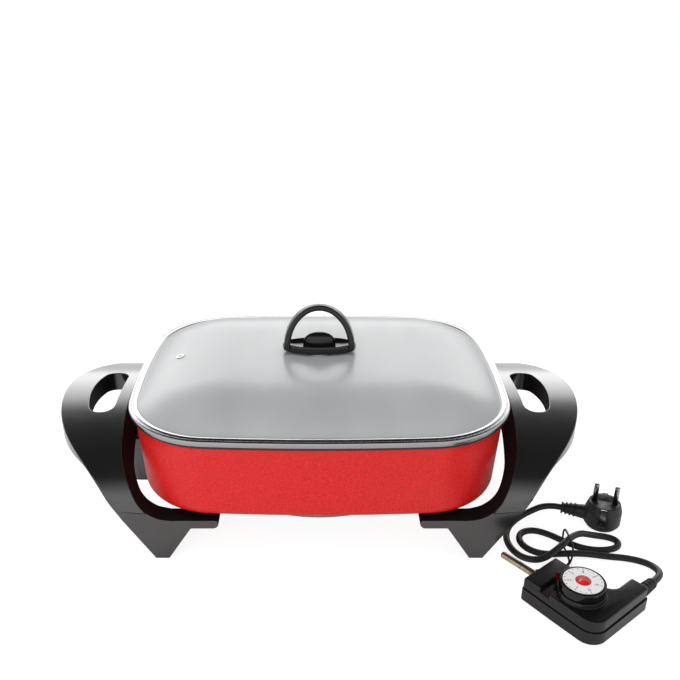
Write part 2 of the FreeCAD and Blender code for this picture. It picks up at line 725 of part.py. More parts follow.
def knob():
    """Bridge knob: oval dished base, tapering strap and a domed hub."""
    low = knob_base_height_of_glass() + silicone_thickness
    base_top = low + knob_base_height
    base = Part.makeLoft([ellipse_ring(knob_half_length - 2.5, knob_half_depth - 2, low),
                          ellipse_ring(knob_half_length, knob_half_depth, low + 2.5),
                          ellipse_ring(knob_half_length - 1.0, knob_half_depth - 0.8, base_top)], True, False)
    strap_height = knob_height - knob_base_height / 2
    strap_base = low + knob_base_height / 2
    strap = upright_ellipse(knob_half_length - 1.0, strap_height, strap_base)
    inner_length = knob_half_length - 1.0 - knob_strap
    strap = strap.cut(upright_ellipse(inner_length, strap_height - knob_strap, strap_base))
    taper = profile([(-knob_half_depth + 2, strap_base, 0), (knob_half_depth - 2, strap_base, 0),
                     (knob_top_width / 2, low + knob_height + 2, 0),
                     (-knob_top_width / 2, low + knob_height + 2, 0)],
                    lambda u, v: (-knob_half_length, u, v)).extrude(Vector(2 * knob_half_length, 0, 0))
    plan = ellipse_block(knob_half_length, knob_half_depth, strap_base, low + knob_height + 5)
    strap = strap.common(taper).common(plan)
    hub = Part.makeLoft([ellipse_ring(hub_half_length, hub_half_depth, base_top - dish_depth - 1),
                         ellipse_ring(hub_half_length * 0.9, hub_half_depth * 0.88, base_top + hub_height * 0.5),
                         ellipse_ring(hub_half_length * 0.5, hub_half_depth * 0.5, base_top + hub_height)],
                        True, False)
    dish = Part.makeLoft([ellipse_ring(knob_half_length * 0.45, knob_half_depth * 0.42, base_top - dish_depth),
                          ellipse_ring(knob_half_length * 0.72, knob_half_depth * 0.72, base_top - dish_depth * 0.6),
                          ellipse_ring(knob_half_length - 5.0, knob_half_depth - 2.6, base_top + 0.01)], True, False)
    body = base.cut(dish).fuse(strap).fuse(hub)
    insert_top = (0, 0, base_top + hub_height - 3)
    keep("knob", body.cut(rod(insert_radius + seat_clearance, (0, 0, low - 1), insert_top)))
    keep("knob_insert", ring(insert_radius, knob_screw_radius + seat_clearance, (0, 0, low),
                             (0, 0, base_top + hub_height - 4)))


def knob_fixing():
    """Washers and screw that clamp the knob to the glass."""
    crown = knob_base_height_of_glass()
    under = crown - glass_thickness
    keep("upper_washer", ring(knob_washer_radius, knob_screw_radius + 0.4, (0, 0, crown),
                              (0, 0, crown + silicone_thickness)))
    low = under - silicone_thickness
    keep("lower_washer", ring(knob_washer_radius, knob_screw_radius + 0.4, (0, 0, low), (0, 0, under)))
    cup = turned([(knob_screw_radius + 0.4, low - cup_thickness, 0), (cup_radius, low - cup_thickness, 1),
                  (cup_radius, low + 0.8, 0), (cup_radius - 0.7, low + 0.8, 0), (cup_radius - 0.7, low, 0),
                  (knob_screw_radius + 0.4, low, 0)])
    keep("cup_washer", cup)
    seat = low - cup_thickness
    head = rod(4.6, (0, 0, seat - 3.2), (0, 0, seat))
    head = head.makeFillet(1.6, [e for e in head.Edges if e.BoundBox.ZMax < seat - 3.19])
    shaft = rod(knob_screw_radius, (0, 0, seat), (0, 0, crown + silicone_thickness + hub_height))
    slot = box(-3, 3, -0.5, 0.5, seat - 4, seat - 1.8)
    keep("knob_screw", head.fuse(shaft).cut(slot))


# Thermostat control

def laid(shape):
    """Puts a piece of the control in its place on the table."""
    placed = shape.copy()
    placed.Placement = Placement(Vector(*control_place, 0), Rotation(Vector(0, 0, 1), control_turn))
    return placed


def control_plan(inset, z0, z1):
    """Block with the control's L-shaped plan, moved in by inset."""
    left = trunk_left - inset
    right = -nose_half_width + inset
    rear = body_rear + inset
    corners = [
        (nose_front - inset, nose_half_width - inset, 3 - inset / 2), (10.0, left - 2, 30.0),
        (rear, left, 15.0 - inset), (rear, arm_reach + inset, 4.0 - inset / 2),
        (arm_inner - inset, arm_reach + inset, 3.0 - inset / 2), (arm_inner - inset, right, notch_radius + inset),
        (nose_front - inset, right, 3 - inset / 2),
    ]
    return flat(corners, z0, z1)


def nose_holes():
    """Holes in the nose for the probe and the two contacts."""
    z = seam_height
    holes = rod(probe_radius + 0.4, (0, 0, z), (nose_front + 1, 0, z))
    for y in (contact_spacing / 2, -contact_spacing / 2):
        holes = holes.fuse(rod(contact_pin_radius + 0.8, (nose_front - 6, y, z), (nose_front + 1, y, z)))
    return holes


def relief_hole(radius):
    start = (relief_axis_x, arm_reach - 1, relief_height)
    return rod(radius, start, (relief_axis_x, arm_reach + 12, relief_height))


def shell_screw_spots():
    return ((14.0, 17.0), (14.0, -17.0), (-24.0, 15.0), (relief_axis_x, -27.0))


def lower_shell():
    """Tray with a chamfered foot, screw posts and half of the nose holes."""
    body = control_plan(0, 0, seam_height)
    foot = [e for e in body.Edges if e.BoundBox.ZMax < 0.01]
    body = body.makeChamfer(1.5, foot)
    body = body.cut(control_plan(shell_wall, lower_floor, seam_height + 1))
    for x, y in shell_screw_spots():
        body = body.fuse(rod(3.6, (x, y, lower_floor - 1), (x, y, seam_height)))
        body = body.cut(rod(1.6, (x, y, -1), (x, y, seam_height + 1)))
        body = body.cut(rod(3.1, (x, y, -1), (x, y, 2.4)))
    keep("control_lower_shell", laid(body.cut(nose_holes()).cut(relief_hole(relief_radius - 1.0))))


def upper_shell():
    """Cover with a raised nose block, the round turret under the dial and the roof."""
    body = soften_top(control_plan(seam_step, seam_height, top_height - trunk_drop), shell_edge)
    nose = box(nose_front - nose_length, nose_front - seam_step, -nose_half_width + seam_step,
               nose_half_width - seam_step, seam_height, top_height)
    nose = soften_top(nose, shell_edge)
    arm_roof = soften_top(control_plan(seam_step, seam_height, top_height), shell_edge)
    arm_roof = arm_roof.common(box(body_rear, arm_inner + 30, arm_reach, trunk_left, 0, top_height))
    turret = Part.makeCone(turret_radius + 3, turret_radius, turret_height - seam_height,
                           Vector(0, 0, seam_height))
    body = body.fuse(nose).fuse(arm_roof).fuse(turret.common(control_plan(seam_step, 0, turret_height)))
    hollow = control_plan(seam_step + shell_wall, seam_height - 1, top_height - trunk_drop - shell_wall)
    hollow_top = (0, 0, turret_height - shell_wall)
    hollow = hollow.fuse(rod(turret_radius - shell_wall, (0, 0, seam_height), hollow_top))
    inner_half = nose_half_width - seam_step - shell_wall
    hollow = hollow.fuse(box(nose_front - nose_length + shell_wall, nose_front - seam_step - shell_wall,
                             -inner_half, inner_half, seam_height, top_height - shell_wall))
    body = body.cut(hollow)
    for x, y in shell_screw_spots():
        body = body.fuse(rod(3.6, (x, y, seam_height), (x, y, top_height - trunk_drop)))
        body = body.cut(rod(1.5, (x, y, seam_height - 1), (x, y, top_height - trunk_drop - 1)))
    body = body.cut(rod(spindle_radius + 0.4, (0, 0, seam_height), (0, 0, turret_height + 1)))
    body = body.cut(rod(lens_radius + seat_clearance, (lens_x, 0, seam_height), (lens_x, 0, top_height)))
    keep("control_upper_shell", laid(body.cut(nose_holes()).cut(relief_hole(relief_radius - 1.0))))


def probe():
    """Probe with a rounded tip, and the collar that holds it in the nose."""
    z = seam_height
    start = nose_front - probe_inside
    tip = nose_front + probe_reach
    stem = rod(probe_radius, (start, 0, z), (tip, 0, z))
    stem = stem.makeFillet(probe_radius * 0.8, [e for e in stem.Edges if e.BoundBox.XMin > tip - 0.01])
    keep("probe", laid(stem))
    x0 = nose_front - seam_step - shell_wall - collar_length - 0.5
    collar = ring(collar_radius, probe_radius + seat_clearance, (x0, 0, z), (x0 + collar_length, 0, z))
    keep("probe_collar", laid(collar))


def thermostat():
    """Bracket, bimetal strip, contact spring, rivet contacts and calibration screw."""
    z = seam_height
    rear = -9.0
    front = nose_front - probe_inside
    bracket = box(rear, front, -6, 6, 5.0, 6.2)
    bracket = bracket.fuse(box(front - 1.2, front, -6, 6, 5.0, z + 4))
    bracket = bracket.fuse(rod(2.2, (-4, 0, lower_floor), (-4, 0, 5.0)))
    keep("thermostat_bracket", laid(bracket))
    strip = box(rear + 4, front - 1.2, -3.5, 3.5, 8.4, 9.2)
    strip = strip.fuse(box(front - 4.2, front - 1.2, -3.5, 3.5, 6.2, 9.2))
    keep("bimetal_strip", laid(strip))
    spring = box(rear, front - 6, -3.0, 3.0, 11.6, 12.1).fuse(box(rear, rear + 3, -3.0, 3.0, 6.2, 12.1))
    keep("contact_spring", laid(spring))
    low = rod(1.8, (2, 0, 9.2), (2, 0, 10.2))
    high = rod(1.8, (2, 0, 10.5), (2, 0, 11.6))
    keep("rivet_contacts", laid(Part.makeCompound([low, high])))
    keep("calibration_screw", laid(rod(1.2, (11.5, 0, 12.1), (11.5, 0, z + 4))))


def lamp():
    """Heating lamp: its raised lens beside the dial, the neon bulb under it and the bulb's resistor."""
    roof = top_height - trunk_drop
    lens = rod(lens_radius, (lens_x, 0, roof - shell_wall), (lens_x, 0, roof))
    lens_end = nose_front - nose_length - 0.2
    lens = lens.fuse(box(turret_radius + 2, lens_end, -1.7, 1.7, roof, turret_height + 2.5))
    keep("lamp_lens", laid(lens))
    bulb = rod(1.6, (lens_x - 9, 7.5, seam_height), (lens_x - 1, 7.5, seam_height))
    keep("lamp", laid(bulb.makeFillet(1.0, [e for e in bulb.Edges if e.BoundBox.XMin > lens_x - 1.01])))
    resistor = rod(1.1, (lens_x - 20, 7.5, seam_height), (lens_x - 13, 7.5, seam_height))
    lead = rod(0.4, (lens_x - 13, 7.5, seam_height), (lens_x - 9, 7.5, seam_height))
    foot = rod(0.4, (lens_x - 16, 7.5, lower_floor), (lens_x - 16, 7.5, seam_height))
    keep("lamp_resistor", laid(resistor.fuse(lead).fuse(foot)))


def contacts():
    """Sleeves that grip the skillet's pins, and the earth clip on the nose's roof."""
    z = seam_height
    front = nose_front - 6.2
    sleeves = []
    for y in (contact_spacing / 2, -contact_spacing / 2):
        sleeve = ring(female_radius, contact_pin_radius + 0.1, (front - female_length, y, z), (front, y, z))
        slit = box(front - female_length + 5, front + 1, y - 0.4, y + 0.4, z, z + female_radius + 1)
        leg = box(front - female_length + 1, front - female_length + 4, y - 1.5, y + 1.5, lower_floor,
                  z - contact_pin_radius - 0.4)
        sleeve = sleeve.fuse(leg)
        sleeves.append(sleeve.cut(slit))
    keep("female_contacts", laid(Part.makeCompound(sleeves)))


def dial():
    """Turning knob with its printed plate, centre cap and spindle."""
    low = turret_height + rest_clearance
    top = low + dial_height
    recess = dial_plate_radius + seat_clearance
    floor = top - dial_plate_thickness
    body = turned([(0, low, 0), (dial_radius, low, 0), (dial_radius, top, 1.2), (recess, top, 0), (recess, floor, 0),
                   (0, floor, 0)])
    body = body.cut(rod(spindle_radius + seat_clearance, (0, 0, low - 1), (0, 0, top - 3)))
    keep("dial_knob", laid(body))
    plate = ring(dial_plate_radius, dial_cap_radius, (0, 0, top - dial_plate_thickness), (0, 0, top))
    keep("dial_plate", laid(plate))
    keep("dial_cap", laid(rod(dial_cap_radius, (0, 0, top - dial_plate_thickness), (0, 0, top + 0.3))))
    spindle = rod(spindle_radius, (0, 0, seam_height + 5), (0, 0, top - 3))
    stop = ring(spindle_radius + 3, spindle_radius, (0, 0, turret_height - 6), (0, 0, turret_height - 4))
    keep("dial_spindle", laid(spindle.fuse(stop)))


def cord_entry():
    """Strain relief, the clamp on the cord inside the arm, and the housing's screws."""
    start = (relief_axis_x, arm_reach, relief_height)
    end = (relief_axis_x, arm_reach - relief_length, relief_height)
    sleeve = Part.makeCone(relief_radius, relief_radius - 1.2, relief_length, Vector(*start),
                           Vector(0, -1, 0))
    for i in range(4):
        y = arm_reach - 5.0 - i * 4.2
        sleeve = sleeve.fuse(rod(relief_radius + 0.5 - i * 0.25, (relief_axis_x, y, relief_height),
                                 (relief_axis_x, y - 1.6, relief_height)))
    neck = rod(relief_radius - 1.0 - seat_clearance, start, (relief_axis_x, arm_reach + 4, relief_height))
    keep("strain_relief", laid(sleeve.fuse(neck)))
    y0 = arm_reach + 8
    y1 = arm_reach + 15
    top = relief_height - 0.8
    clamp = box(relief_axis_x - clamp_half, relief_axis_x + clamp_half, y0, y1, top, top + 1.6)
    for side in (1, -1):
        clamp = clamp.fuse(box(relief_axis_x + side * (cord_radius + 0.5), relief_axis_x + side * clamp_half,
                               y0, y1, lower_floor, top))
    keep("cord_clamp", laid(clamp))
    clamp_screws = [rod(1.1, (relief_axis_x + side * (clamp_half - 1.2), (y0 + y1) / 2, top + 1.6),
                        (relief_axis_x + side * (clamp_half - 1.2), (y0 + y1) / 2, top + 2.6)) for side in (1, -1)]
    keep("clamp_screws", laid(Part.makeCompound(clamp_screws)))
    screws = []
    for x, y in shell_screw_spots():
        shaft = rod(1.45, (x, y, 2.4), (x, y, top_height - 6))
        screws.append(shaft.fuse(rod(2.9, (x, y, 0.6), (x, y, 2.4))))
    keep("shell_screws", laid(Part.makeCompound(screws)))


# Cord, tie and plug

def cord_points():
    """The cord's route with both ends on the axes of the strain relief and the plug's boot."""
    leave = Rotation(Vector(0, 0, 1), control_turn)
    relief_end = Vector(relief_axis_x, arm_reach - relief_length, relief_height)
    start = Vector(*control_place, 0) + leave.multVec(relief_end)
    enter = Rotation(Vector(0, 0, 1), plug_turn)
    end = Vector(*plug_centre, 0) + enter.multVec(Vector(-plug_radius - boot_length, 0, plug_cord_height))
    first = start + leave.multVec(Vector(0, -cord_first_run, 0))
    last = end + enter.multVec(Vector(-cord_last_run, 0, 0))
    return [start, first] + [Vector(*p) for p in cord_route] + [last, end]


def run_edges(points):
    """Straight runs joined by the largest tangent arcs that they allow, and the radii of the arcs."""
    edges = []
    radii = []
    cursor = points[0]
    for before, corner, after in zip(points, points[1:], points[2:]):
        run_in = corner - before
        run_out = after - corner
        reach = cord_arc_share * min(run_in.Length, run_out.Length)
        half_turn = run_in.getAngle(run_out) / 2
        radius = reach / math.tan(half_turn)
        radii.append(radius)
        start = corner - run_in.normalize() * reach
        end = corner + run_out.normalize() * reach
        inward = (end - corner) + (start - corner)
        middle = corner + inward.normalize() * (math.hypot(radius, reach) - radius)
        edges.append(Part.LineSegment(cursor, start).toShape())
        edges.append(Part.Arc(start, middle, end).toShape())
        cursor = end
    edges.append(Part.LineSegment(cursor, points[-1]).toShape())
    return edges, radii


def least_gap(edges, radius):
    """Least free gap between parts of the cord that are more than eight radii apart along it."""
    marks = []
    travelled = 0.0
    for edge in edges:
        count = max(2, int(edge.Length / 1.5))
        for i, point in enumerate(edge.discretize(count)[:-1]):
            marks.append((travelled + edge.Length * i / (count - 1), point))
        travelled += edge.Length
    apart = [(p - q).Length for i, (s, p) in enumerate(marks) for t, q in marks[i + 1:] if t - s > 8 * radius]
    return min(apart) - 2 * radius


def cord():
    edges, radii = run_edges(cord_points())
    print("cord bend radii:", " ".join("%.1f" % r for r in radii))
    body = tube(edges, cord_radius, edges[0].tangentAt(0))
    length = sum(e.Length for e in edges)
    share = body.Volume / (math.pi * cord_radius ** 2 * length)
    print("cord length %.1f, volume over section times length %.4f, least gap %.2f" % (
        length, share, least_gap(edges, cord_radius)))
    keep("cord", body)


def wire_tie():
    """Wire tie round the three strands at the crossing, its two ends lying side by side on the table."""
    wire = tie_wire_radius
    path = [Vector(x, y, z + wire) for x, y, z in tie_route]
    keep("wire_tie", tube(run_edges(path)[0], wire, path[1] - path[0]))


def plugged(shape):
    """Puts a piece of the plug in its place on the table."""
    placed = shape.copy()
    placed.Placement = Placement(Vector(*plug_centre, 0), Rotation(Vector(0, 0, 1), plug_turn))
    return placed


def plug():
    """Angled two-pin plug lying on its back, its cord coming in from -X."""
    body = turned([(0, 0, 0), (plug_radius - 3, 0, 0), (plug_radius, 4, 2), (plug_radius, plug_body_height - 8, 3),
                   (plug_radius - 2.5, plug_body_height, 1.5), (0, plug_body_height, 0)])
    z = plug_cord_height
    boot = Part.makeCone(cord_radius + 1.2, boot_radius, boot_length + 6, Vector(-plug_radius - boot_length, 0, z),
                         Vector(1, 0, 0))
    for i in range(4):
        x = -plug_radius - boot_length + 4 * i
        boot = boot.fuse(rod(cord_radius + 2.6 + 0.4 * i, (x, 0, z), (x + 1.8, 0, z)))
    body = body.fuse(boot)
    for side in (1, -1):
        notch = box(-4, 4, side * (plug_radius - 2.2), side * (plug_radius + 2), 8, plug_body_height + 1)
        body = body.cut(notch)
    half = plug_pin_spacing / 2
    pins = []
    clips = []
    for side in (1, -1):
        spot = (side * half, 0)
        root_end = (*spot, plug_body_height - plug_pin_root)
        body = body.cut(rod(plug_pin_root_radius + seat_clearance, root_end, (*spot, plug_body_height + 1)))
        pin = rod(plug_pin_radius, (*spot, plug_body_height), (*spot, plug_body_height + plug_pin_length))
        pin = pin.makeFillet(1.6, [e for e in pin.Edges if e.BoundBox.ZMin > plug_body_height + 10])
        pins.append(pin.fuse(rod(plug_pin_root_radius, root_end, (*spot, plug_body_height))))
        inner = side * (plug_radius - 2.2)
        clips.append(box(-2.6, 2.6, inner, side * (plug_radius - 1.2), 8.5, plug_body_height))
    keep("plug_body", plugged(body))
    keep("plug_pins", plugged(Part.makeCompound(pins)))
    keep("plug_earth_strips", plugged(Part.makeCompound(clips)))


def export():
    os.makedirs("parts", exist_ok=True)
    for name, shape in nodes.items():
        shape.exportStep(os.path.join("parts", name + ".step"))


pan()
heater()
socket_contacts()
guard()
handles()
glass_lid()
lid_band()
knob()
knob_fixing()
lower_shell()
upper_shell()
probe()
thermostat()
lamp()
contacts()
dial()
cord_entry()
cord()
wire_tie()
plug()
export()
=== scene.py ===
import bmesh
import bpy
import json
import math
from mathutils import Matrix, Vector

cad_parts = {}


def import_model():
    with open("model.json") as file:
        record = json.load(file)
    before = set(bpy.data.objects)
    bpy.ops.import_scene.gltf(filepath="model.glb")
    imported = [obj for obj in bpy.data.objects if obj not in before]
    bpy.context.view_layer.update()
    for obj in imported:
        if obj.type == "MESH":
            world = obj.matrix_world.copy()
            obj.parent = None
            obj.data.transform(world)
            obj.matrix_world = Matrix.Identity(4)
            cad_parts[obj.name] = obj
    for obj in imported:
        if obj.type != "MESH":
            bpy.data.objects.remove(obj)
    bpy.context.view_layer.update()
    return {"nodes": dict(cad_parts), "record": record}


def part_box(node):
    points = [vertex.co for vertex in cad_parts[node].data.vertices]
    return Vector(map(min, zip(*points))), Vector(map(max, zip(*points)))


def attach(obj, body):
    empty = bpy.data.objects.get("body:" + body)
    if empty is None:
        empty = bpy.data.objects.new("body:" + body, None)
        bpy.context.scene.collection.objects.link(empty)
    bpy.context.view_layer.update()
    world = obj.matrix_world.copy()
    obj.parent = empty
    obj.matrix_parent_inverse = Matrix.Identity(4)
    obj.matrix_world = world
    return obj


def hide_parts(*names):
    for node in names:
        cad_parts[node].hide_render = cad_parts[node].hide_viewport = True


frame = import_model()
nodes = frame["nodes"]
bodies = frame["record"]["behaviour"]["bodies"]
body_of = {node: body for body, members in bodies.items() for node in members}

# Camera: it looks down at the point view_height above the origin, from view_distance away
view_height = 0.132
view_distance = 0.8178
view_angle = math.radians(25.6)
lens_length = 42.97
frame_shift = (0.0304, 0.0431)

# Control and plug on the table
control_place = Vector((0.219, -0.206, 0.0))
control_turn = math.radians(129.0)
plug_place = Vector((0.279, -0.078, 0.0))
plug_turn = math.radians(-20.0)
dial_top = 0.0363

# Outline shared by the lid and the pan: end arcs, corner arcs and long-side arcs
rim_half_length, rim_half_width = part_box("lid_band")[1][0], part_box("lid_band")[1][1]
corner_radius = 0.082
long_side_radius = 1.6
end_radius = 0.9
arc_steps = (8, 22, 14)

# Heights of the pan and the lid above the table
pan_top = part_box("pan")[1][2]
pan_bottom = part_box("heater_plate")[1][2]
pan_floor = 0.003
pan_wall = 0.0026
wall_inset = 0.005
wall_taper = 0.0055
bottom_radius = 0.013
flange_inset = 0.002
band_bottom = pan_top + 0.0003
lip_top = band_bottom + 0.0062
glass_under = band_bottom + 0.0014
glass_thickness = 0.004
dome_start = 0.009
dome_reach = 0.137
dome_rise = 0.0213
dome_eased = (0.050, 0.100)
glass_middle = 0.078
glass_inset = 0.0031
glass_edge_round = 0.0011


# Shared effects

def effect(name, inputs, outputs):
    """Empty shader node group with float, colour or vector sockets."""
    group = bpy.data.node_groups.new(name, "ShaderNodeTree")
    for label, kind, value in inputs:
        socket = group.interface.new_socket(name=label, in_out="INPUT", socket_type=kind)
        if value is not None:
            socket.default_value = value
    for label, kind in outputs:
        group.interface.new_socket(name=label, in_out="OUTPUT", socket_type=kind)
    entry = group.nodes.new("NodeGroupInput")
    leave = group.nodes.new("NodeGroupOutput")
    return group, entry, leave


def noise(tree, scale, detail, roughness, vector):
    """Noise texture node read from a vector."""
    node = tree.nodes.new("ShaderNodeTexNoise")
    node.inputs["Scale"].default_value = scale
    node.inputs["Detail"].default_value = detail
    node.inputs["Roughness"].default_value = roughness
    tree.links.new(vector, node.inputs["Vector"])
    return node


def ramp(tree, source, low, high, start=0.0, end=1.0):
    """Range of a value moved to another range, clamped."""
    node = tree.nodes.new("ShaderNodeMapRange")
    node.inputs["From Min"].default_value = low
    node.inputs["From Max"].default_value = high
    node.inputs["To Min"].default_value = start
    node.inputs["To Max"].default_value = end
    tree.links.new(source, node.inputs["Value"])
    return node.outputs["Result"]


def fine_grain():
    """Even grain of a moulded, cast or sprayed surface, with its height for a bump."""
    group, entry, leave = effect(
        "fine_grain",
        [("Vector", "NodeSocketVector", None), ("Size", "NodeSocketFloat", 0.001),
         ("Depth", "NodeSocketFloat", 1.0)],
        [("Mask", "NodeSocketFloat"), ("Height", "NodeSocketFloat")])
    divide = group.nodes.new("ShaderNodeMath")
    divide.operation = "DIVIDE"
    divide.inputs[0].default_value = 1.0
    group.links.new(entry.outputs["Size"], divide.inputs[1])
    texture = noise(group, 1.0, 3.0, 0.6, entry.outputs["Vector"])
    group.links.new(divide.outputs[0], texture.inputs["Scale"])
    group.links.new(ramp(group, texture.outputs["Fac"], 0.32, 0.68), leave.inputs["Mask"])
    depth = group.nodes.new("ShaderNodeMath")
    depth.operation = "MULTIPLY"
    group.links.new(texture.outputs["Fac"], depth.inputs[0])
    group.links.new(entry.outputs["Depth"], depth.inputs[1])
    group.links.new(depth.outputs[0], leave.inputs["Height"])
    return group


def handled_gloss():
    """Roughness of a wiped surface: broad soft patches with fine streaks, between two values."""
    group, entry, leave = effect(
        "handled_gloss",
        [("Vector", "NodeSocketVector", None), ("Smooth", "NodeSocketFloat", 0.2),
         ("Dull", "NodeSocketFloat", 0.4)],
        [("Roughness", "NodeSocketFloat"), ("Patches", "NodeSocketFloat")])
    broad = noise(group, 18.0, 2.0, 0.5, entry.outputs["Vector"])
    streaks = noise(group, 140.0, 4.0, 0.65, entry.outputs["Vector"])
    add = group.nodes.new("ShaderNodeMath")
    add.operation = "MULTIPLY_ADD"
    add.inputs[1].default_value = 0.35
    group.links.new(streaks.outputs["Fac"], add.inputs[0])
    group.links.new(broad.outputs["Fac"], add.inputs[2])
    spread = ramp(group, add.outputs[0], 0.5, 0.85)
    mix = group.nodes.new("ShaderNodeMix")
    group.links.new(spread, mix.inputs["Factor"])
    group.links.new(entry.outputs["Smooth"], mix.inputs[2])
    group.links.new(entry.outputs["Dull"], mix.inputs[3])
    group.links.new(mix.outputs[0], leave.inputs["Roughness"])
    group.links.new(spread, leave.inputs["Patches"])
    return group


def two_tones():
    """Colour between two tones by a mask."""
    group, entry, leave = effect(
        "two_tones",
        [("Mask", "NodeSocketFloat", 0.5), ("Dark", "NodeSocketColor", (0, 0, 0, 1)),
         ("Light", "NodeSocketColor", (1, 1, 1, 1))],
        [("Color", "NodeSocketColor")])
    mix = group.nodes.new("ShaderNodeMix")
    mix.data_type = "RGBA"
    group.links.new(entry.outputs["Mask"], mix.inputs["Factor"])
    group.links.new(entry.outputs["Dark"], mix.inputs["A"])
    group.links.new(entry.outputs["Light"], mix.inputs["B"])
    group.links.new(mix.outputs["Result"], leave.inputs["Color"])
    return group


grain_effect = fine_grain()
gloss_effect = handled_gloss()
tone_effect = two_tones()


# Finishes

bump_reach = 0.0004


def add_effect(tree, group, source, **values):
    """Runs a shared effect on a source, which enters at its first socket, with its values set."""
    node = tree.nodes.new("ShaderNodeGroup")
    node.node_tree = group
    for label, value in values.items():
        node.inputs[label].default_value = value
    tree.links.new(source, node.inputs[0])
    return node


def finish(name, dark, light, grain=0.001, bump=0.05, bump_size=0.0004, smooth=0.3, dull=0.45,
           stretch=(1, 1, 1), **constants):
    """Principled material with two mottled tones, wiped roughness and a grain bump."""
    material = bpy.data.materials.new(name)
    material.use_nodes = True
    tree = material.node_tree
    shader = tree.nodes["Principled BSDF"]
    for label, value in constants.items():
        shader.inputs[label.replace("_", " ")].default_value = value
    place = tree.nodes.new("ShaderNodeTexCoord")
    mapping = tree.nodes.new("ShaderNodeMapping")
    mapping.inputs["Scale"].default_value = stretch
    tree.links.new(place.outputs["Object"], mapping.inputs["Vector"])
    vector = mapping.outputs["Vector"]
    speckle = add_effect(tree, grain_effect, vector, Size=grain, Depth=1.0)
    tones = add_effect(tree, tone_effect, speckle.outputs["Mask"], Dark=(*dark, 1), Light=(*light, 1))
    tree.links.new(tones.outputs["Color"], shader.inputs["Base Color"])
    wiped = add_effect(tree, gloss_effect, vector, Smooth=smooth, Dull=dull)
    tree.links.new(wiped.outputs["Roughness"], shader.inputs["Roughness"])
    if bump:
        relief = add_effect(tree, grain_effect, vector, Size=bump_size, Depth=1.0)
        raise_node = tree.nodes.new("ShaderNodeBump")
        raise_node.inputs["Strength"].default_value = bump
        raise_node.inputs["Distance"].default_value = bump_reach
        tree.links.new(relief.outputs["Height"], raise_node.inputs["Height"])
        tree.links.new(raise_node.outputs["Normal"], shader.inputs["Normal"])
    return material


def clear_glass(name, roughness, tint):
    """Clear tempered glass with a plain transmission."""
    return finish(name, tint, tint, bump=0.0, smooth=roughness, dull=roughness + 0.03, Metallic=0.0,
                  Transmission_Weight=1.0, IOR=1.5)


red_enamel = finish("red_enamel", (0.58, 0.006, 0.008), (0.90, 0.024, 0.020), grain=0.0013, bump=0.18,
                    bump_size=0.0010, smooth=0.34, dull=0.50, Coat_Weight=0.12, Coat_Roughness=0.3,
                    Specular_IOR_Level=0.35)
nonstick = finish("nonstick_coating", (0.012, 0.012, 0.013), (0.030, 0.030, 0.031), grain=0.0008,
                  bump=0.15, smooth=0.38, dull=0.55)
cast_plate = finish("cast_aluminium", (0.20, 0.20, 0.205), (0.42, 0.42, 0.43), grain=0.0012, bump=0.6,
                    bump_size=0.0009, smooth=0.42, dull=0.62, Metallic=0.85)
satin_plastic = finish("handle_plastic", (0.006, 0.006, 0.0065), (0.011, 0.011, 0.0115), grain=0.0007,
                       bump=0.03, bump_size=0.0004, smooth=0.22, dull=0.26, Specular_IOR_Level=1.0,
                       Coat_Weight=1.0, Coat_Roughness=0.20)
# Matte finish for the handles' walls that face the pan and for their arms' tops. Its base colour is darker
# than the handles' outside: painted shade for faces that lie in the pan's shade, which also takes out red
# light cast off the pan.
shaded_inside_finish = finish("handle_inside_painted_shade", (0.004, 0.004, 0.0045), (0.008, 0.008, 0.0085), grain=0.0009,
                        bump=0.10, bump_size=0.0006, smooth=0.62, dull=0.75, Specular_IOR_Level=0.15)
gloss_plastic = finish("gloss_plastic", (0.005, 0.005, 0.0055), (0.009, 0.009, 0.0095), grain=0.002,
                       bump=0.02, smooth=0.12, dull=0.20)
bright_steel = finish("bright_steel", (0.40, 0.40, 0.41), (0.54, 0.54, 0.55), grain=0.0005, bump=0.03,
                      stretch=(1, 1, 6), smooth=0.14, dull=0.24, Metallic=1.0)
plain_steel = finish("plain_steel", (0.42, 0.42, 0.43), (0.60, 0.60, 0.61), grain=0.0006, bump=0.06,
                     smooth=0.25, dull=0.4, Metallic=1.0)
probe_steel = finish("heated_steel", (0.40, 0.33, 0.24), (0.66, 0.58, 0.46), grain=0.0030, bump=0.04,
                     smooth=0.22, dull=0.36, Metallic=1.0)
brass = finish("brass", (0.50, 0.36, 0.14), (0.66, 0.50, 0.22), grain=0.001, bump=0.04, smooth=0.25,
               dull=0.4, Metallic=1.0)
silicone = finish("clear_silicone", (0.50, 0.50, 0.50), (0.66, 0.66, 0.66), grain=0.001, bump=0.03,
                  smooth=0.4, dull=0.55, Transmission_Weight=0.3)
ceramic = finish("ceramic", (0.62, 0.60, 0.54), (0.80, 0.78, 0.72), grain=0.0012, bump=0.12, smooth=0.45,
                 dull=0.6)
dial_white = finish("dial_white", (0.84, 0.84, 0.84), (0.90, 0.90, 0.90), grain=0.0008, bump=0.02,
                    smooth=0.3, dull=0.42)
dial_red = finish("dial_red", (0.55, 0.010, 0.012), (0.72, 0.016, 0.018), grain=0.0012, bump=0.03,
                  smooth=0.22, dull=0.34)
dial_ink = finish("dial_ink", (0.05, 0.04, 0.04), (0.10, 0.08, 0.08), grain=0.0006, bump=0.0, smooth=0.4,
                  dull=0.5)
cord_sheath = finish("cord_sheath", (0.010, 0.010, 0.011), (0.022, 0.022, 0.023), grain=0.0010, bump=0.12,
                     bump_size=0.0005, smooth=0.36, dull=0.5)
moulded_rubber = finish("moulded_rubber", (0.010, 0.010, 0.011), (0.020, 0.020, 0.021), grain=0.0012,
                        bump=0.08, bump_size=0.0006, smooth=0.32, dull=0.46)
lens_red = finish("lamp_lens", (0.05, 0.004, 0.004), (0.09, 0.006, 0.006), grain=0.002, bump=0.0,
                  smooth=0.12, dull=0.2)
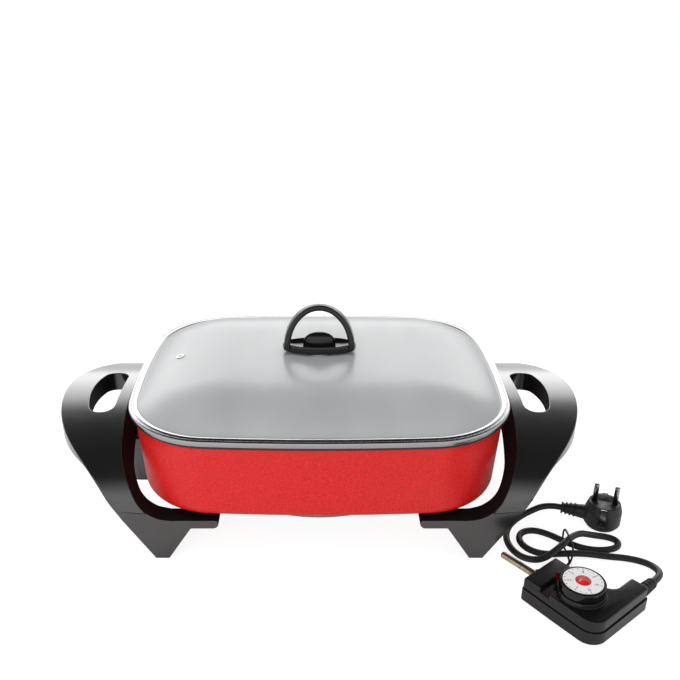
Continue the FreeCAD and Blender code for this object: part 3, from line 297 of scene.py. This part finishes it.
# Lid glass with a milky grey tone and broad, stretched light and dark patches: painted reflection that stands
# in for the bright studio light mirrored on a clear glass lid.
lid_glass_painted_sheen = finish("lid_glass", (0.55, 0.56, 0.57), (0.69, 0.70, 0.71), grain=0.14, bump=0.0, smooth=0.25,
                   dull=0.27, stretch=(1, 0.3, 1), Metallic=0.0, Transmission_Weight=0.35, IOR=1.5)
bulb_clear = clear_glass("bulb_glass", 0.03, (0.95, 0.93, 0.90))
resistor_tan = finish("resistor_tan", (0.45, 0.33, 0.18), (0.58, 0.44, 0.26), grain=0.001, bump=0.05,
                      smooth=0.4, dull=0.5)

finish_of = {
    "pan": red_enamel, "heater_plate": cast_plate, "heating_element": plain_steel,
    "contact_pins": bright_steel, "ceramic_bushes": ceramic, "probe_tube": plain_steel,
    "earth_contact": plain_steel, "socket_guard": satin_plastic, "guard_screws": plain_steel,
    "handle_left": satin_plastic, "handle_right": satin_plastic, "heat_washers": plain_steel,
    "spring_washers": plain_steel, "leg_screws": plain_steel, "lid_glass": lid_glass_painted_sheen,
    "lid_band": bright_steel, "vent_eyelet": bright_steel, "knob": gloss_plastic, "knob_insert": brass,
    "upper_washer": silicone, "lower_washer": silicone, "cup_washer": bright_steel,
    "knob_screw": bright_steel, "control_lower_shell": gloss_plastic,
    "control_upper_shell": gloss_plastic, "probe": probe_steel, "probe_collar": brass,
    "thermostat_bracket": plain_steel, "bimetal_strip": plain_steel, "contact_spring": brass,
    "rivet_contacts": bright_steel, "calibration_screw": brass, "lamp_lens": lens_red, "lamp": bulb_clear,
    "lamp_resistor": resistor_tan, "female_contacts": brass, "dial_knob": gloss_plastic,
    "dial_plate": dial_white, "dial_cap": dial_red, "dial_spindle": plain_steel,
    "strain_relief": moulded_rubber, "cord_clamp": moulded_rubber, "clamp_screws": plain_steel,
    "shell_screws": plain_steel, "cord": cord_sheath, "wire_tie": cord_sheath,
    "plug_body": moulded_rubber, "plug_pins": bright_steel, "plug_earth_strips": bright_steel,
}


# Pieces

def paint(node, material):
    """Gives a CAD node its finish."""
    data = nodes[node].data
    if not data.materials:
        data.materials.append(material)
    for index in range(len(data.materials)):
        data.materials[index] = material


def add_piece(name, bm, material, body, sharp=35.0):
    """Makes a finished piece from a bmesh, shaded smooth up to an angle."""
    mesh = bpy.data.meshes.new(name)
    bm.to_mesh(mesh)
    bm.free()
    mesh.materials.append(material)
    mesh.shade_smooth()
    mesh.set_sharp_from_angle(angle=math.radians(sharp))
    piece = bpy.data.objects.new(name, mesh)
    bpy.context.scene.collection.objects.link(piece)
    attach(piece, body)
    return piece


def merged(node):
    """A node's mesh as a bmesh with its loose triangles joined."""
    bm = bmesh.new()
    bm.from_mesh(nodes[node].data)
    bmesh.ops.remove_doubles(bm, verts=bm.verts, dist=1e-6)
    return bm


def smooth_copy(node):
    """Merged copy of a CAD node that stands in for it, with smooth curved faces."""
    piece = add_piece(node + "_shown", merged(node), finish_of[node], body_of[node], 32.0)
    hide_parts(node)
    return piece


def on_control(point):
    """Place on the table of a point given in the control's own axes."""
    return control_place + Matrix.Rotation(control_turn, 3, "Z") @ Vector(point)


def on_plug(point):
    """Place on the table of a point given in the plug's own axes."""
    return plug_place + Matrix.Rotation(plug_turn, 3, "Z") @ Vector(point)


def soft_copy(node, width):
    """Stands in for a CAD node with its flat faces joined and its sharp edges rounded."""
    bm = merged(node)
    bmesh.ops.dissolve_limit(bm, angle_limit=math.radians(0.6), verts=bm.verts, edges=bm.edges)
    piece = add_piece(node + "_shown", bm, finish_of[node], body_of[node])
    bevel = piece.modifiers.new("edge", "BEVEL")
    bevel.width = width
    bevel.segments = 2
    bevel.limit_method = "ANGLE"
    bevel.angle_limit = math.radians(30.0)
    bevel.use_clamp_overlap = False
    bevel.harden_normals = True
    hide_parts(node)
    return piece


# Rings that follow the rim's outline

def rim_arcs():
    """The rim's arcs in the first quarter: centre, radius, and the turn where each starts and ends."""
    end_centre = Vector((rim_half_length - end_radius, 0))
    long_centre = Vector((0, rim_half_width - long_side_radius))
    near, far = end_radius - corner_radius, long_side_radius - corner_radius
    span = long_centre - end_centre
    along = (span.length_squared + near * near - far * far) / (2 * span.length)
    off = math.sqrt(near * near - along * along)
    ahead = span.normalized()
    corner = end_centre + ahead * along + Vector((-ahead.y, ahead.x)) * off
    if corner.y < 0:
        corner = end_centre + ahead * along - Vector((-ahead.y, ahead.x)) * off
    first = math.atan2(corner.y - end_centre.y, corner.x - end_centre.x)
    second = math.atan2(corner.y - long_centre.y, corner.x - long_centre.x)
    return ((end_centre, end_radius, 0.0, first), (corner, corner_radius, first, second),
            (long_centre, long_side_radius, second, math.pi / 2))


def rim_spokes():
    """Centre, radius and direction of each point round the rim, counted from the +X end."""
    quarter = []
    for (centre, radius, start, end), steps in zip(rim_arcs(), arc_steps):
        for step in range(steps):
            turn = start + (end - start) * step / steps
            quarter.append((centre.x, centre.y, radius, math.cos(turn), math.sin(turn)))
    points = []
    for index in range(4):
        flip = index in (1, 3)
        sx = -1 if index in (1, 2) else 1
        sy = -1 if index in (2, 3) else 1
        run = quarter if not flip else [(0, rim_half_width - long_side_radius, long_side_radius, 0.0, 1.0)]
        run = run + quarter[:0:-1] if flip else run
        points += [(sx * x, sy * y, r, sx * c, sy * s) for x, y, r, c, s in run]
    return points


spokes = rim_spokes()


def rim_point(index, inset, height, share=1.0):
    """Point of the outline moved in by inset, drawn towards the middle by a share."""
    x, y, radius, c, s = spokes[index]
    return Vector(((x + (radius - inset) * c) * share, (y + (radius - inset) * s) * share, height))


def extruded(bm, edges, places):
    """Extrudes a ring: gives the new ring's edges, and for each new vertex what the old one stood for."""
    grown = bmesh.ops.extrude_edge_only(bm, edges=edges)["geom"]
    verts = [g for g in grown if isinstance(g, bmesh.types.BMVert)]
    carried = {v: places[e.other_vert(v)] for v in verts for e in v.link_edges if e.other_vert(v) in places}
    fresh = [g for g in grown if isinstance(g, bmesh.types.BMEdge) and all(v in carried for v in g.verts)]
    return fresh, carried


def ringed(profile, closed):
    """Surface of rings (inset, height, share) round the rim, closed on itself or filled at both ends."""
    bm = bmesh.new()
    loop = bmesh.ops.create_circle(bm, segments=len(spokes), radius=1.0)["verts"]
    places = {vert: index for index, vert in enumerate(loop)}
    for vert, index in places.items():
        vert.co = rim_point(index, *profile[0])
    first = list(bm.edges)
    edges = first
    rest = profile[1:]
    if closed:
        rest = rest + profile[:1]
    for ring in rest:
        edges, places = extruded(bm, edges, places)
        for vert, index in places.items():
            vert.co = rim_point(index, *ring)
    if closed:
        bmesh.ops.remove_doubles(bm, verts=bm.verts, dist=1e-7)
    else:
        bmesh.ops.contextual_create(bm, geom=first)
        bmesh.ops.contextual_create(bm, geom=edges)
    bmesh.ops.recalc_face_normals(bm, faces=bm.faces)
    return bm


def bend(centre, radius, start, end, steps):
    """Points (inset, height) along an arc in a section, turned from start to end in degrees."""
    turns = [math.radians(start + (end - start) * step / steps) for step in range(steps + 1)]
    return [(centre[0] - radius * math.cos(t), centre[1] - radius * math.sin(t), 1.0) for t in turns]


# Cord and plug

cord_radius = 0.0031
relief_axis = -0.0245
relief_height = 0.012
plug_cord_height = 0.010

# Points of the cord between its first run from the strain relief and its last run into the plug
cord_route = [
    (0.3055, -0.1575, 0.0070), (0.3010, -0.1430, 0.0036), (0.2860, -0.1355, 0.0031),
    (0.2670, -0.1330, 0.0031), (0.2470, -0.1315, 0.0054), (0.2280, -0.1320, 0.0058),
    (0.2090, -0.1305, 0.0033), (0.1955, -0.1225, 0.0031), (0.1900, -0.1090, 0.0031),
    (0.1950, -0.0960, 0.0031), (0.2085, -0.0925, 0.0031), (0.2210, -0.1015, 0.0046),
    (0.2315, -0.1150, 0.0066), (0.2450, -0.1226, 0.0050), (0.2600, -0.1242, 0.0031),
    (0.2735, -0.1232, 0.0031), (0.2827, -0.1182, 0.0031), (0.2845, -0.1098, 0.0031),
    (0.2773, -0.1040, 0.0031), (0.2625, -0.1042, 0.0056), (0.2430, -0.1115, 0.0142),
    (0.2205, -0.1350, 0.0142), (0.2045, -0.1410, 0.0050), (0.1890, -0.1360, 0.0031),
    (0.1805, -0.1230, 0.0031), (0.1785, -0.1070, 0.0031), (0.1830, -0.0905, 0.0031),
    (0.1935, -0.0765, 0.0031), (0.2085, -0.0660, 0.0050),
]


def route_curve(name, points, radius):
    """Smooth round cord along a route."""
    curve = bpy.data.curves.new(name, "CURVE")
    curve.dimensions = "3D"
    spline = curve.splines.new("NURBS")
    spline.points.add(len(points) - 1)
    for point, place in zip(spline.points, points):
        point.co = (*place, 1.0)
    spline.order_u = 3
    spline.use_endpoint_u = True
    spline.resolution_u = 10
    curve.bevel_depth = radius
    curve.bevel_resolution = 6
    curve.use_fill_caps = True
    piece = bpy.data.objects.new(name, curve)
    bpy.context.scene.collection.objects.link(piece)
    return piece


def cord():
    """The cord from the strain relief to the plug's boot."""
    start = on_control((relief_axis, -0.073, relief_height))
    first = on_control((relief_axis, -0.084, relief_height))
    end = on_plug((-0.0395, 0, plug_cord_height))
    last = on_plug((-0.0535, 0, plug_cord_height))
    points = [start, first] + [Vector(p) for p in cord_route] + [last, end]
    piece = route_curve("power_cord", points, cord_radius)
    piece.data.materials.append(cord_sheath)
    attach(piece, "control")
    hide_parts("cord")
    return piece, start


flex, flex_exit = cord()
shown = {}
for node in ("wire_tie", "plug_body", "plug_pins", "plug_earth_strips", "strain_relief"):
    shown[node] = smooth_copy(node)


# Pan

coating_edge = 0.0040
floor_insets = (0.034, 0.052, 0.070)
floor_shares = (0.6, 0.2)
leg_screw_place = (0.112, 0.104)
guard_screw_place = (-0.146, 0.038)
boss_radii = (0.0072, 0.0075)
boss_height = 0.003
boss_drop = 0.0010


def wall_section(top_inset, top, bottom, radius):
    """Tapered wall from its top to the bottom's rounding and in to the middle, as (inset, height, share)."""
    lean = wall_taper / (pan_top - pan_bottom)
    tilt = math.degrees(math.atan(lean))
    centre_height = bottom + radius
    centre_inset = top_inset + lean * (top - centre_height) + radius / math.cos(math.radians(tilt))
    section = bend((centre_inset, centre_height), radius, tilt, 90, 10)
    section += [(inset, bottom, 1.0) for inset in floor_insets]
    return section + [(floor_insets[-1], bottom, share) for share in floor_shares]


def pan_shell():
    """Pan: coated inside and over its rim, red speckled enamel outside."""
    inner = wall_section(wall_inset + pan_wall, pan_top, pan_bottom + pan_floor, bottom_radius - pan_wall)
    outer = wall_section(wall_inset, pan_top, pan_bottom, bottom_radius)
    rim = [(wall_inset + pan_wall + 0.0006, pan_top - 0.006, 1.0),
           (wall_inset + pan_wall, pan_top - 0.0012, 1.0),
           (wall_inset + pan_wall - 0.001, pan_top, 1.0), (flange_inset + 0.0006, pan_top, 1.0),
           (flange_inset, pan_top - 0.0006, 1.0), (flange_inset, pan_top - 0.0020, 1.0),
           (flange_inset + 0.0005, pan_top - 0.0026, 1.0)]
    skirt = [(flange_inset + 0.0012, pan_top - 0.0032, 1.0),
             (wall_inset - 0.0008, pan_top - coating_edge, 1.0),
             (wall_inset + 0.0004, pan_top - 0.0058, 1.0), (wall_inset + 0.0012, pan_top - 0.018, 1.0)]
    profile = inner[::-1] + rim + skirt + outer
    piece = add_piece("pan_body", ringed(profile, False), red_enamel, "skillet", 40.0)
    piece.data.materials.append(nonstick)
    coated = len(inner) + len(rim) - 1
    for face in piece.data.polygons:
        floor_inside = face.normal.z > 0.5 and abs(face.center.z - pan_bottom - pan_floor) < 0.0002
        if face.index < coated * len(spokes) or face.center.z > pan_top - coating_edge or floor_inside:
            face.material_index = 1
    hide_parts("pan")


def pan_bosses():
    """Round bosses under the pan that the leg and guard screws enter."""
    bm = bmesh.new()
    legs = [(sx * leg_screw_place[0], sy * leg_screw_place[1]) for sx in (1, -1) for sy in (1, -1)]
    guard = [(guard_screw_place[0], sy * guard_screw_place[1]) for sy in (1, -1)]
    for x, y in legs + guard:
        disc = bmesh.ops.create_cone(bm, cap_ends=True, segments=40, radius1=boss_radii[0],
                                     radius2=boss_radii[1], depth=boss_height)["verts"]
        bmesh.ops.translate(bm, vec=(x, y, pan_bottom - boss_drop), verts=disc)
    lugs = add_piece("pan_bosses", bm, red_enamel, "skillet")
    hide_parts("pan")


# Lid

def crowned(inset):
    """Height of the dome's plain curve above the glass's flat edge."""
    return dome_rise * (1 - (1 - (inset - dome_start) / dome_reach) ** 4)


def dome_height(inset):
    """Height of the glass above its flat edge, eased to the flat middle."""
    low, high = dome_eased
    if inset <= low:
        return crowned(inset)
    flat = crowned(glass_middle)
    if inset >= high:
        return flat
    slope = 4 * dome_rise * (1 - (low - dome_start) / dome_reach) ** 3 / dome_reach * (high - low)
    t = (inset - low) / (high - low)
    return ((2 * t ** 3 - 3 * t ** 2 + 1) * crowned(low) + (t ** 3 - 2 * t ** 2 + t) * slope
            + (3 * t ** 2 - 2 * t ** 3) * flat)


def lid_glass():
    """Domed glass as one even shell, its middle flat under the knob."""
    insets = [0.0095, 0.0105, 0.012, 0.014, 0.0165, 0.0195, 0.023, 0.027, 0.032, 0.038, 0.044, 0.050,
              0.056, 0.062, 0.068, 0.074, glass_middle]
    middle = [0.86, 0.7, 0.5, 0.3, 0.12]
    half = rim_half_width - glass_middle
    skin = [(inset, dome_height(inset), 1.0) for inset in insets]
    skin += [(glass_middle, dome_height(rim_half_width - half * share), share) for share in middle]
    top = glass_under + glass_thickness
    under = [(inset, glass_under + height, share) for inset, height, share in skin]
    over = [(inset, top + height, share) for inset, height, share in skin]
    rounded = glass_inset + glass_edge_round
    edge = [(dome_start, glass_under, 1.0), (rounded, glass_under, 1.0),
            (glass_inset, glass_under + glass_edge_round, 1.0), (glass_inset, top - glass_edge_round, 1.0),
            (rounded, top, 1.0), (0.0088, top, 1.0)]
    dome = ringed(under[::-1] + edge + over, False)
    piece = add_piece("lid_dome", dome, lid_glass_painted_sheen, "lid", 60.0)
    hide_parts("lid_glass")


def rim_band():
    """Steel band folded over the glass's edge, with its groove, rounded outer edge and skirt."""
    low = band_bottom
    high = lip_top
    section = [(0.0009, low, 1.0), (0.0003, low + 0.0002, 1.0), (0.0, low + 0.0008, 1.0),
               (0.0, high - 0.0024, 1.0)]
    section += bend((0.0016, high - 0.0022), 0.0016, 0, -75, 6)
    section += [(0.0022, high - 0.0006, 1.0), (0.0026, high - 0.0011, 1.0), (0.0031, high - 0.0011, 1.0),
                (0.0036, high - 0.0005, 1.0), (0.0042, high - 0.0001, 1.0), (0.0050, high, 1.0),
                (0.0068, high, 1.0), (0.0075, high - 0.0002, 1.0), (0.0079, high - 0.0007, 1.0),
                (0.0079, high - 0.00085, 1.0), (0.0030, high - 0.00085, 1.0), (0.0030, glass_under, 1.0),
                (0.0098, glass_under, 1.0), (0.0098, low - 0.006, 1.0), (0.0086, low - 0.006, 1.0),
                (0.0086, low, 1.0)]
    piece = add_piece("rim_band", ringed(section, True), bright_steel, "lid", 32.0)
    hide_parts("lid_band")


# Knob

knob_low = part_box("knob")[0][2]
knob_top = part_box("knob")[1][2]
knob_half_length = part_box("knob")[1][0]
knob_half_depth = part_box("knob")[1][1]
strap_foot = 0.004
strap_inset = 0.0044
strap_top_drop = 0.0032
strap_half_width = 0.0105
strap_narrowing = 0.0062
strap_half_thickness = 0.0034
strap_thinning = 0.0006
strap_steps = 56

# Base, dish and hub from the underside up: share of the base's outline, and height
knob_rings = [
    (0.55, 0.0), (0.93, 0.0), (0.965, 0.0006), (0.99, 0.0018), (1.0, 0.0032), (0.998, 0.0058),
    (0.985, 0.0072), (0.955, 0.0080), (0.90, 0.0077), (0.80, 0.0062), (0.66, 0.0052), (0.45, 0.0049),
    (0.43, 0.0085), (0.41, 0.0120), (0.36, 0.0150), (0.28, 0.0172), (0.17, 0.0186), (0.06, 0.0191),
]


def knob_base():
    """Dished oval base that rises to the domed hub."""
    bm = bmesh.new()
    loop = bmesh.ops.create_circle(bm, segments=72, radius=1.0)["verts"]
    places = {vert: (vert.co.x, vert.co.y) for vert in loop}
    edges = list(bm.edges)
    for index, (share, height) in enumerate(knob_rings):
        if index:
            edges, places = extruded(bm, edges, places)
        for vert, (u, v) in places.items():
            vert.co = (u * knob_half_length * share, v * knob_half_depth * share, knob_low + height)
    bmesh.ops.contextual_create(bm, geom=edges)
    bmesh.ops.holes_fill(bm, edges=bm.edges, sides=0)
    bmesh.ops.recalc_face_normals(bm, faces=bm.faces)
    foot = add_piece("knob_base", bm, gloss_plastic, "lid", 50.0)
    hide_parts("knob")


def squared(share):
    """Share across a round section, moved outward so that the section is nearly square."""
    return math.copysign(abs(share) ** 0.45, share)


def knob_strap():
    """Strap that bridges the base and narrows towards its top."""
    bm = bmesh.new()
    section = bmesh.ops.create_circle(bm, cap_ends=True, segments=20, radius=1.0)["verts"]
    places = {vert: (vert.co.x, vert.co.y) for vert in section}
    edges = list(bm.edges)
    reach = knob_half_length - strap_inset
    rise = knob_top - knob_low - strap_foot
    for step in range(strap_steps + 1):
        if step:
            edges, places = extruded(bm, edges, places)
        turn = math.pi * step / strap_steps
        lift = math.sin(turn)
        width = strap_half_width - strap_narrowing * lift ** 1.3
        thick = strap_half_thickness - strap_thinning * lift
        height = knob_low + strap_foot + (rise - strap_top_drop) * lift
        centre = Vector((reach * math.cos(turn), 0, height))
        out = Vector((math.cos(turn) / reach, 0, lift / rise)).normalized()
        for vert, (u, v) in places.items():
            vert.co = centre + out * thick * squared(u) + Vector((0, width * squared(v), 0))
    bmesh.ops.holes_fill(bm, edges=bm.edges, sides=0)
    bmesh.ops.recalc_face_normals(bm, faces=bm.faces)
    bridge = add_piece("knob_strap", bm, gloss_plastic, "lid", 50.0)
    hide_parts("knob")


# Handles, guard, control and fasteners

arm_height = 0.055
rounded_edges = {
    "handle_left": 0.0010, "handle_right": 0.0010, "socket_guard": 0.0008, "control_lower_shell": 0.0006,
    "control_upper_shell": 0.0005, "dial_knob": 0.0004,
}
smoothed = (
    "heater_plate", "heating_element", "contact_pins", "probe_tube", "vent_eyelet", "cup_washer",
    "knob_screw", "upper_washer", "lower_washer", "probe", "lamp_lens", "dial_plate", "dial_cap",
    "leg_screws", "guard_screws", "ceramic_bushes",
)


def line_inside(piece):
    """Gives a leg handle's walls that face the pan, and its arms' tops, a matte finish with a darker base
    colour: painted shade where they face the pan and lie under it.
    """
    piece.data.materials.append(shaded_inside_finish)
    for face in piece.data.polygons:
        towards_pan = face.normal.x * face.center.x < -0.35 * abs(face.center.x)
        arm_top = face.normal.z > 0.4 and face.center.z < arm_height
        if towards_pan or arm_top:
            face.material_index = 1


pan_shell()
pan_bosses()
lid_glass()
rim_band()
knob_base()
knob_strap()
for node, width in rounded_edges.items():
    shown[node] = soft_copy(node, width)
line_inside(shown["handle_left"])
line_inside(shown["handle_right"])
for node in smoothed:
    smooth_copy(node)
for node, material in finish_of.items():
    paint(node, material)


# Dial print

tick_count = 19
ticks_per_number = 3
first_tick_degrees = 150
tick_step_degrees = 17
long_tick = 0.0021
short_tick = 0.0013
tick_reach = 0.0157
tick_width = 0.00052
print_thickness = 0.00008
number_radius = 0.0112
number_size = 0.0046


def numeral(digit, size):
    """Flat mesh of one plain number, centred on the origin."""
    curve = bpy.data.curves.new("numeral", "FONT")
    curve.body = str(digit)
    curve.size = size
    curve.align_x = "CENTER"
    curve.align_y = "CENTER"
    curve.extrude = print_thickness / 2
    holder = bpy.data.objects.new("numeral", curve)
    mesh = bpy.data.meshes.new_from_object(holder)
    bpy.data.objects.remove(holder)
    return mesh


def dial_marks():
    """Ticks and plain numbers printed on the dial's plate."""
    bm = bmesh.new()
    for index in range(tick_count):
        turn = math.radians(first_tick_degrees - index * tick_step_degrees)
        numbered = index % ticks_per_number == 0
        length = long_tick if numbered else short_tick
        tick = bmesh.ops.create_cube(bm, size=1.0)["verts"]
        bmesh.ops.scale(bm, vec=(length, tick_width, print_thickness), verts=tick)
        bmesh.ops.translate(bm, vec=(tick_reach - length / 2, 0, dial_top), verts=tick)
        bmesh.ops.rotate(bm, cent=(0, 0, 0), matrix=Matrix.Rotation(turn, 3, "Z"), verts=tick)
        if numbered:
            before = len(bm.verts)
            bm.from_mesh(numeral(index // ticks_per_number, number_size))
            bm.verts.ensure_lookup_table()
            digit = bm.verts[before:]
            bmesh.ops.rotate(bm, cent=(0, 0, 0), matrix=Matrix.Rotation(-math.pi / 2, 3, "Z"), verts=digit)
            bmesh.ops.translate(bm, vec=(number_radius, 0, dial_top), verts=digit)
            bmesh.ops.rotate(bm, cent=(0, 0, 0), matrix=Matrix.Rotation(turn, 3, "Z"), verts=digit)
    bmesh.ops.rotate(bm, cent=(0, 0, 0), matrix=Matrix.Rotation(control_turn, 3, "Z"), verts=bm.verts)
    bmesh.ops.translate(bm, vec=control_place, verts=bm.verts)
    add_piece("dial_ticks", bm, dial_ink, "dial")


dial_marks()


# Floor, lights and camera

def floor():
    """White table top with a glow for the camera, which keeps the object's shadow."""
    bm = bmesh.new()
    bmesh.ops.create_grid(bm, x_segments=1, y_segments=1, size=6.0)
    bmesh.ops.translate(bm, vec=(0, 0, -0.0002), verts=bm.verts)
    mesh = bpy.data.meshes.new("table_top")
    bm.to_mesh(mesh)
    bm.free()
    material = bpy.data.materials.new("white_table")
    material.use_nodes = True
    tree = material.node_tree
    shader = tree.nodes["Principled BSDF"]
    shader.inputs["Base Color"].default_value = (0.86, 0.86, 0.86, 1)
    shader.inputs["Roughness"].default_value = 0.9
    shader.inputs["Specular IOR Level"].default_value = 0.1
    glow = tree.nodes.new("ShaderNodeEmission")
    glow.inputs["Strength"].default_value = 1.7
    rays = tree.nodes.new("ShaderNodeLightPath")
    seen = tree.nodes.new("ShaderNodeMath")
    seen.operation = "MULTIPLY"
    seen.inputs[1].default_value = 0.5
    mix = tree.nodes.new("ShaderNodeMixShader")
    tree.links.new(rays.outputs["Is Camera Ray"], seen.inputs[0])
    tree.links.new(seen.outputs[0], mix.inputs[0])
    tree.links.new(shader.outputs[0], mix.inputs[1])
    tree.links.new(glow.outputs[0], mix.inputs[2])
    tree.links.new(mix.outputs[0], tree.nodes["Material Output"].inputs["Surface"])
    mesh.materials.append(material)
    table = bpy.data.objects.new("table_top", mesh)
    bpy.context.scene.collection.objects.link(table)


def world():
    """Even studio light, white to the camera and through glass. Mirrors see it white low down, dark above."""
    backdrop = bpy.data.worlds.new("studio")
    bpy.context.scene.world = backdrop
    backdrop.use_nodes = True
    tree = backdrop.node_tree
    light = tree.nodes["Background"]
    light.inputs["Color"].default_value = (1, 1, 1, 1)
    rays = tree.nodes.new("ShaderNodeLightPath")
    either = tree.nodes.new("ShaderNodeMath")
    either.operation = "MAXIMUM"
    tree.links.new(rays.outputs["Is Camera Ray"], either.inputs[0])
    tree.links.new(rays.outputs["Is Transmission Ray"], either.inputs[1])
    plain = ramp(tree, either.outputs[0], 0.0, 1.0, 0.48, 1.0)
    place = tree.nodes.new("ShaderNodeTexCoord")
    parts = tree.nodes.new("ShaderNodeSeparateXYZ")
    tree.links.new(place.outputs["Generated"], parts.inputs[0])
    sky = ramp(tree, parts.outputs["Z"], 0.32, 0.72, 1.0, 0.03)
    level = tree.nodes.new("ShaderNodeMix")
    tree.links.new(rays.outputs["Is Glossy Ray"], level.inputs["Factor"])
    tree.links.new(plain, level.inputs[2])
    tree.links.new(sky, level.inputs[3])
    tree.links.new(level.outputs[0], light.inputs["Strength"])


def lamp(name, place, target, size, power, mirrored=True):
    """Soft rectangular lamp aimed at a target, mirrored in shiny surfaces or not."""
    data = bpy.data.lights.new(name, "AREA")
    data.shape = "RECTANGLE"
    data.size = size[0]
    data.size_y = size[1]
    data.energy = power
    holder = bpy.data.objects.new(name, data)
    holder.location = place
    holder.rotation_euler = (Vector(target) - Vector(place)).to_track_quat("-Z", "Y").to_euler()
    holder.visible_camera = False
    holder.visible_glossy = mirrored
    bpy.context.scene.collection.objects.link(holder)


def camera():
    """Camera at the photograph's place, shifted to its framing."""
    data = bpy.data.cameras.new("camera")
    data.lens = lens_length
    data.sensor_width = 36.0
    data.shift_x, data.shift_y = frame_shift
    data.clip_start = 0.01
    holder = bpy.data.objects.new("camera", data)
    height = view_height + view_distance * math.sin(view_angle)
    holder.location = (0, -view_distance * math.cos(view_angle), height)
    holder.rotation_euler = (math.pi / 2 - view_angle, 0, 0)
    bpy.context.scene.collection.objects.link(holder)
    bpy.context.scene.camera = holder


floor()
world()
lamp("soft_top", (0.0, -0.2, 1.6), (0, 0, 0.05), (0.9, 0.7), 6.0, mirrored=False)
lamp("soft_front", (-0.6, -1.7, 0.7), (0, 0, 0.08), (1.2, 0.8), 13.0, mirrored=False)
lamp("soft_back", (-0.3, 2.2, 1.05), (0, 0, 0.10), (4.4, 1.3), 34.0)
camera()
bpy.context.scene.view_settings.view_transform = "Standard"
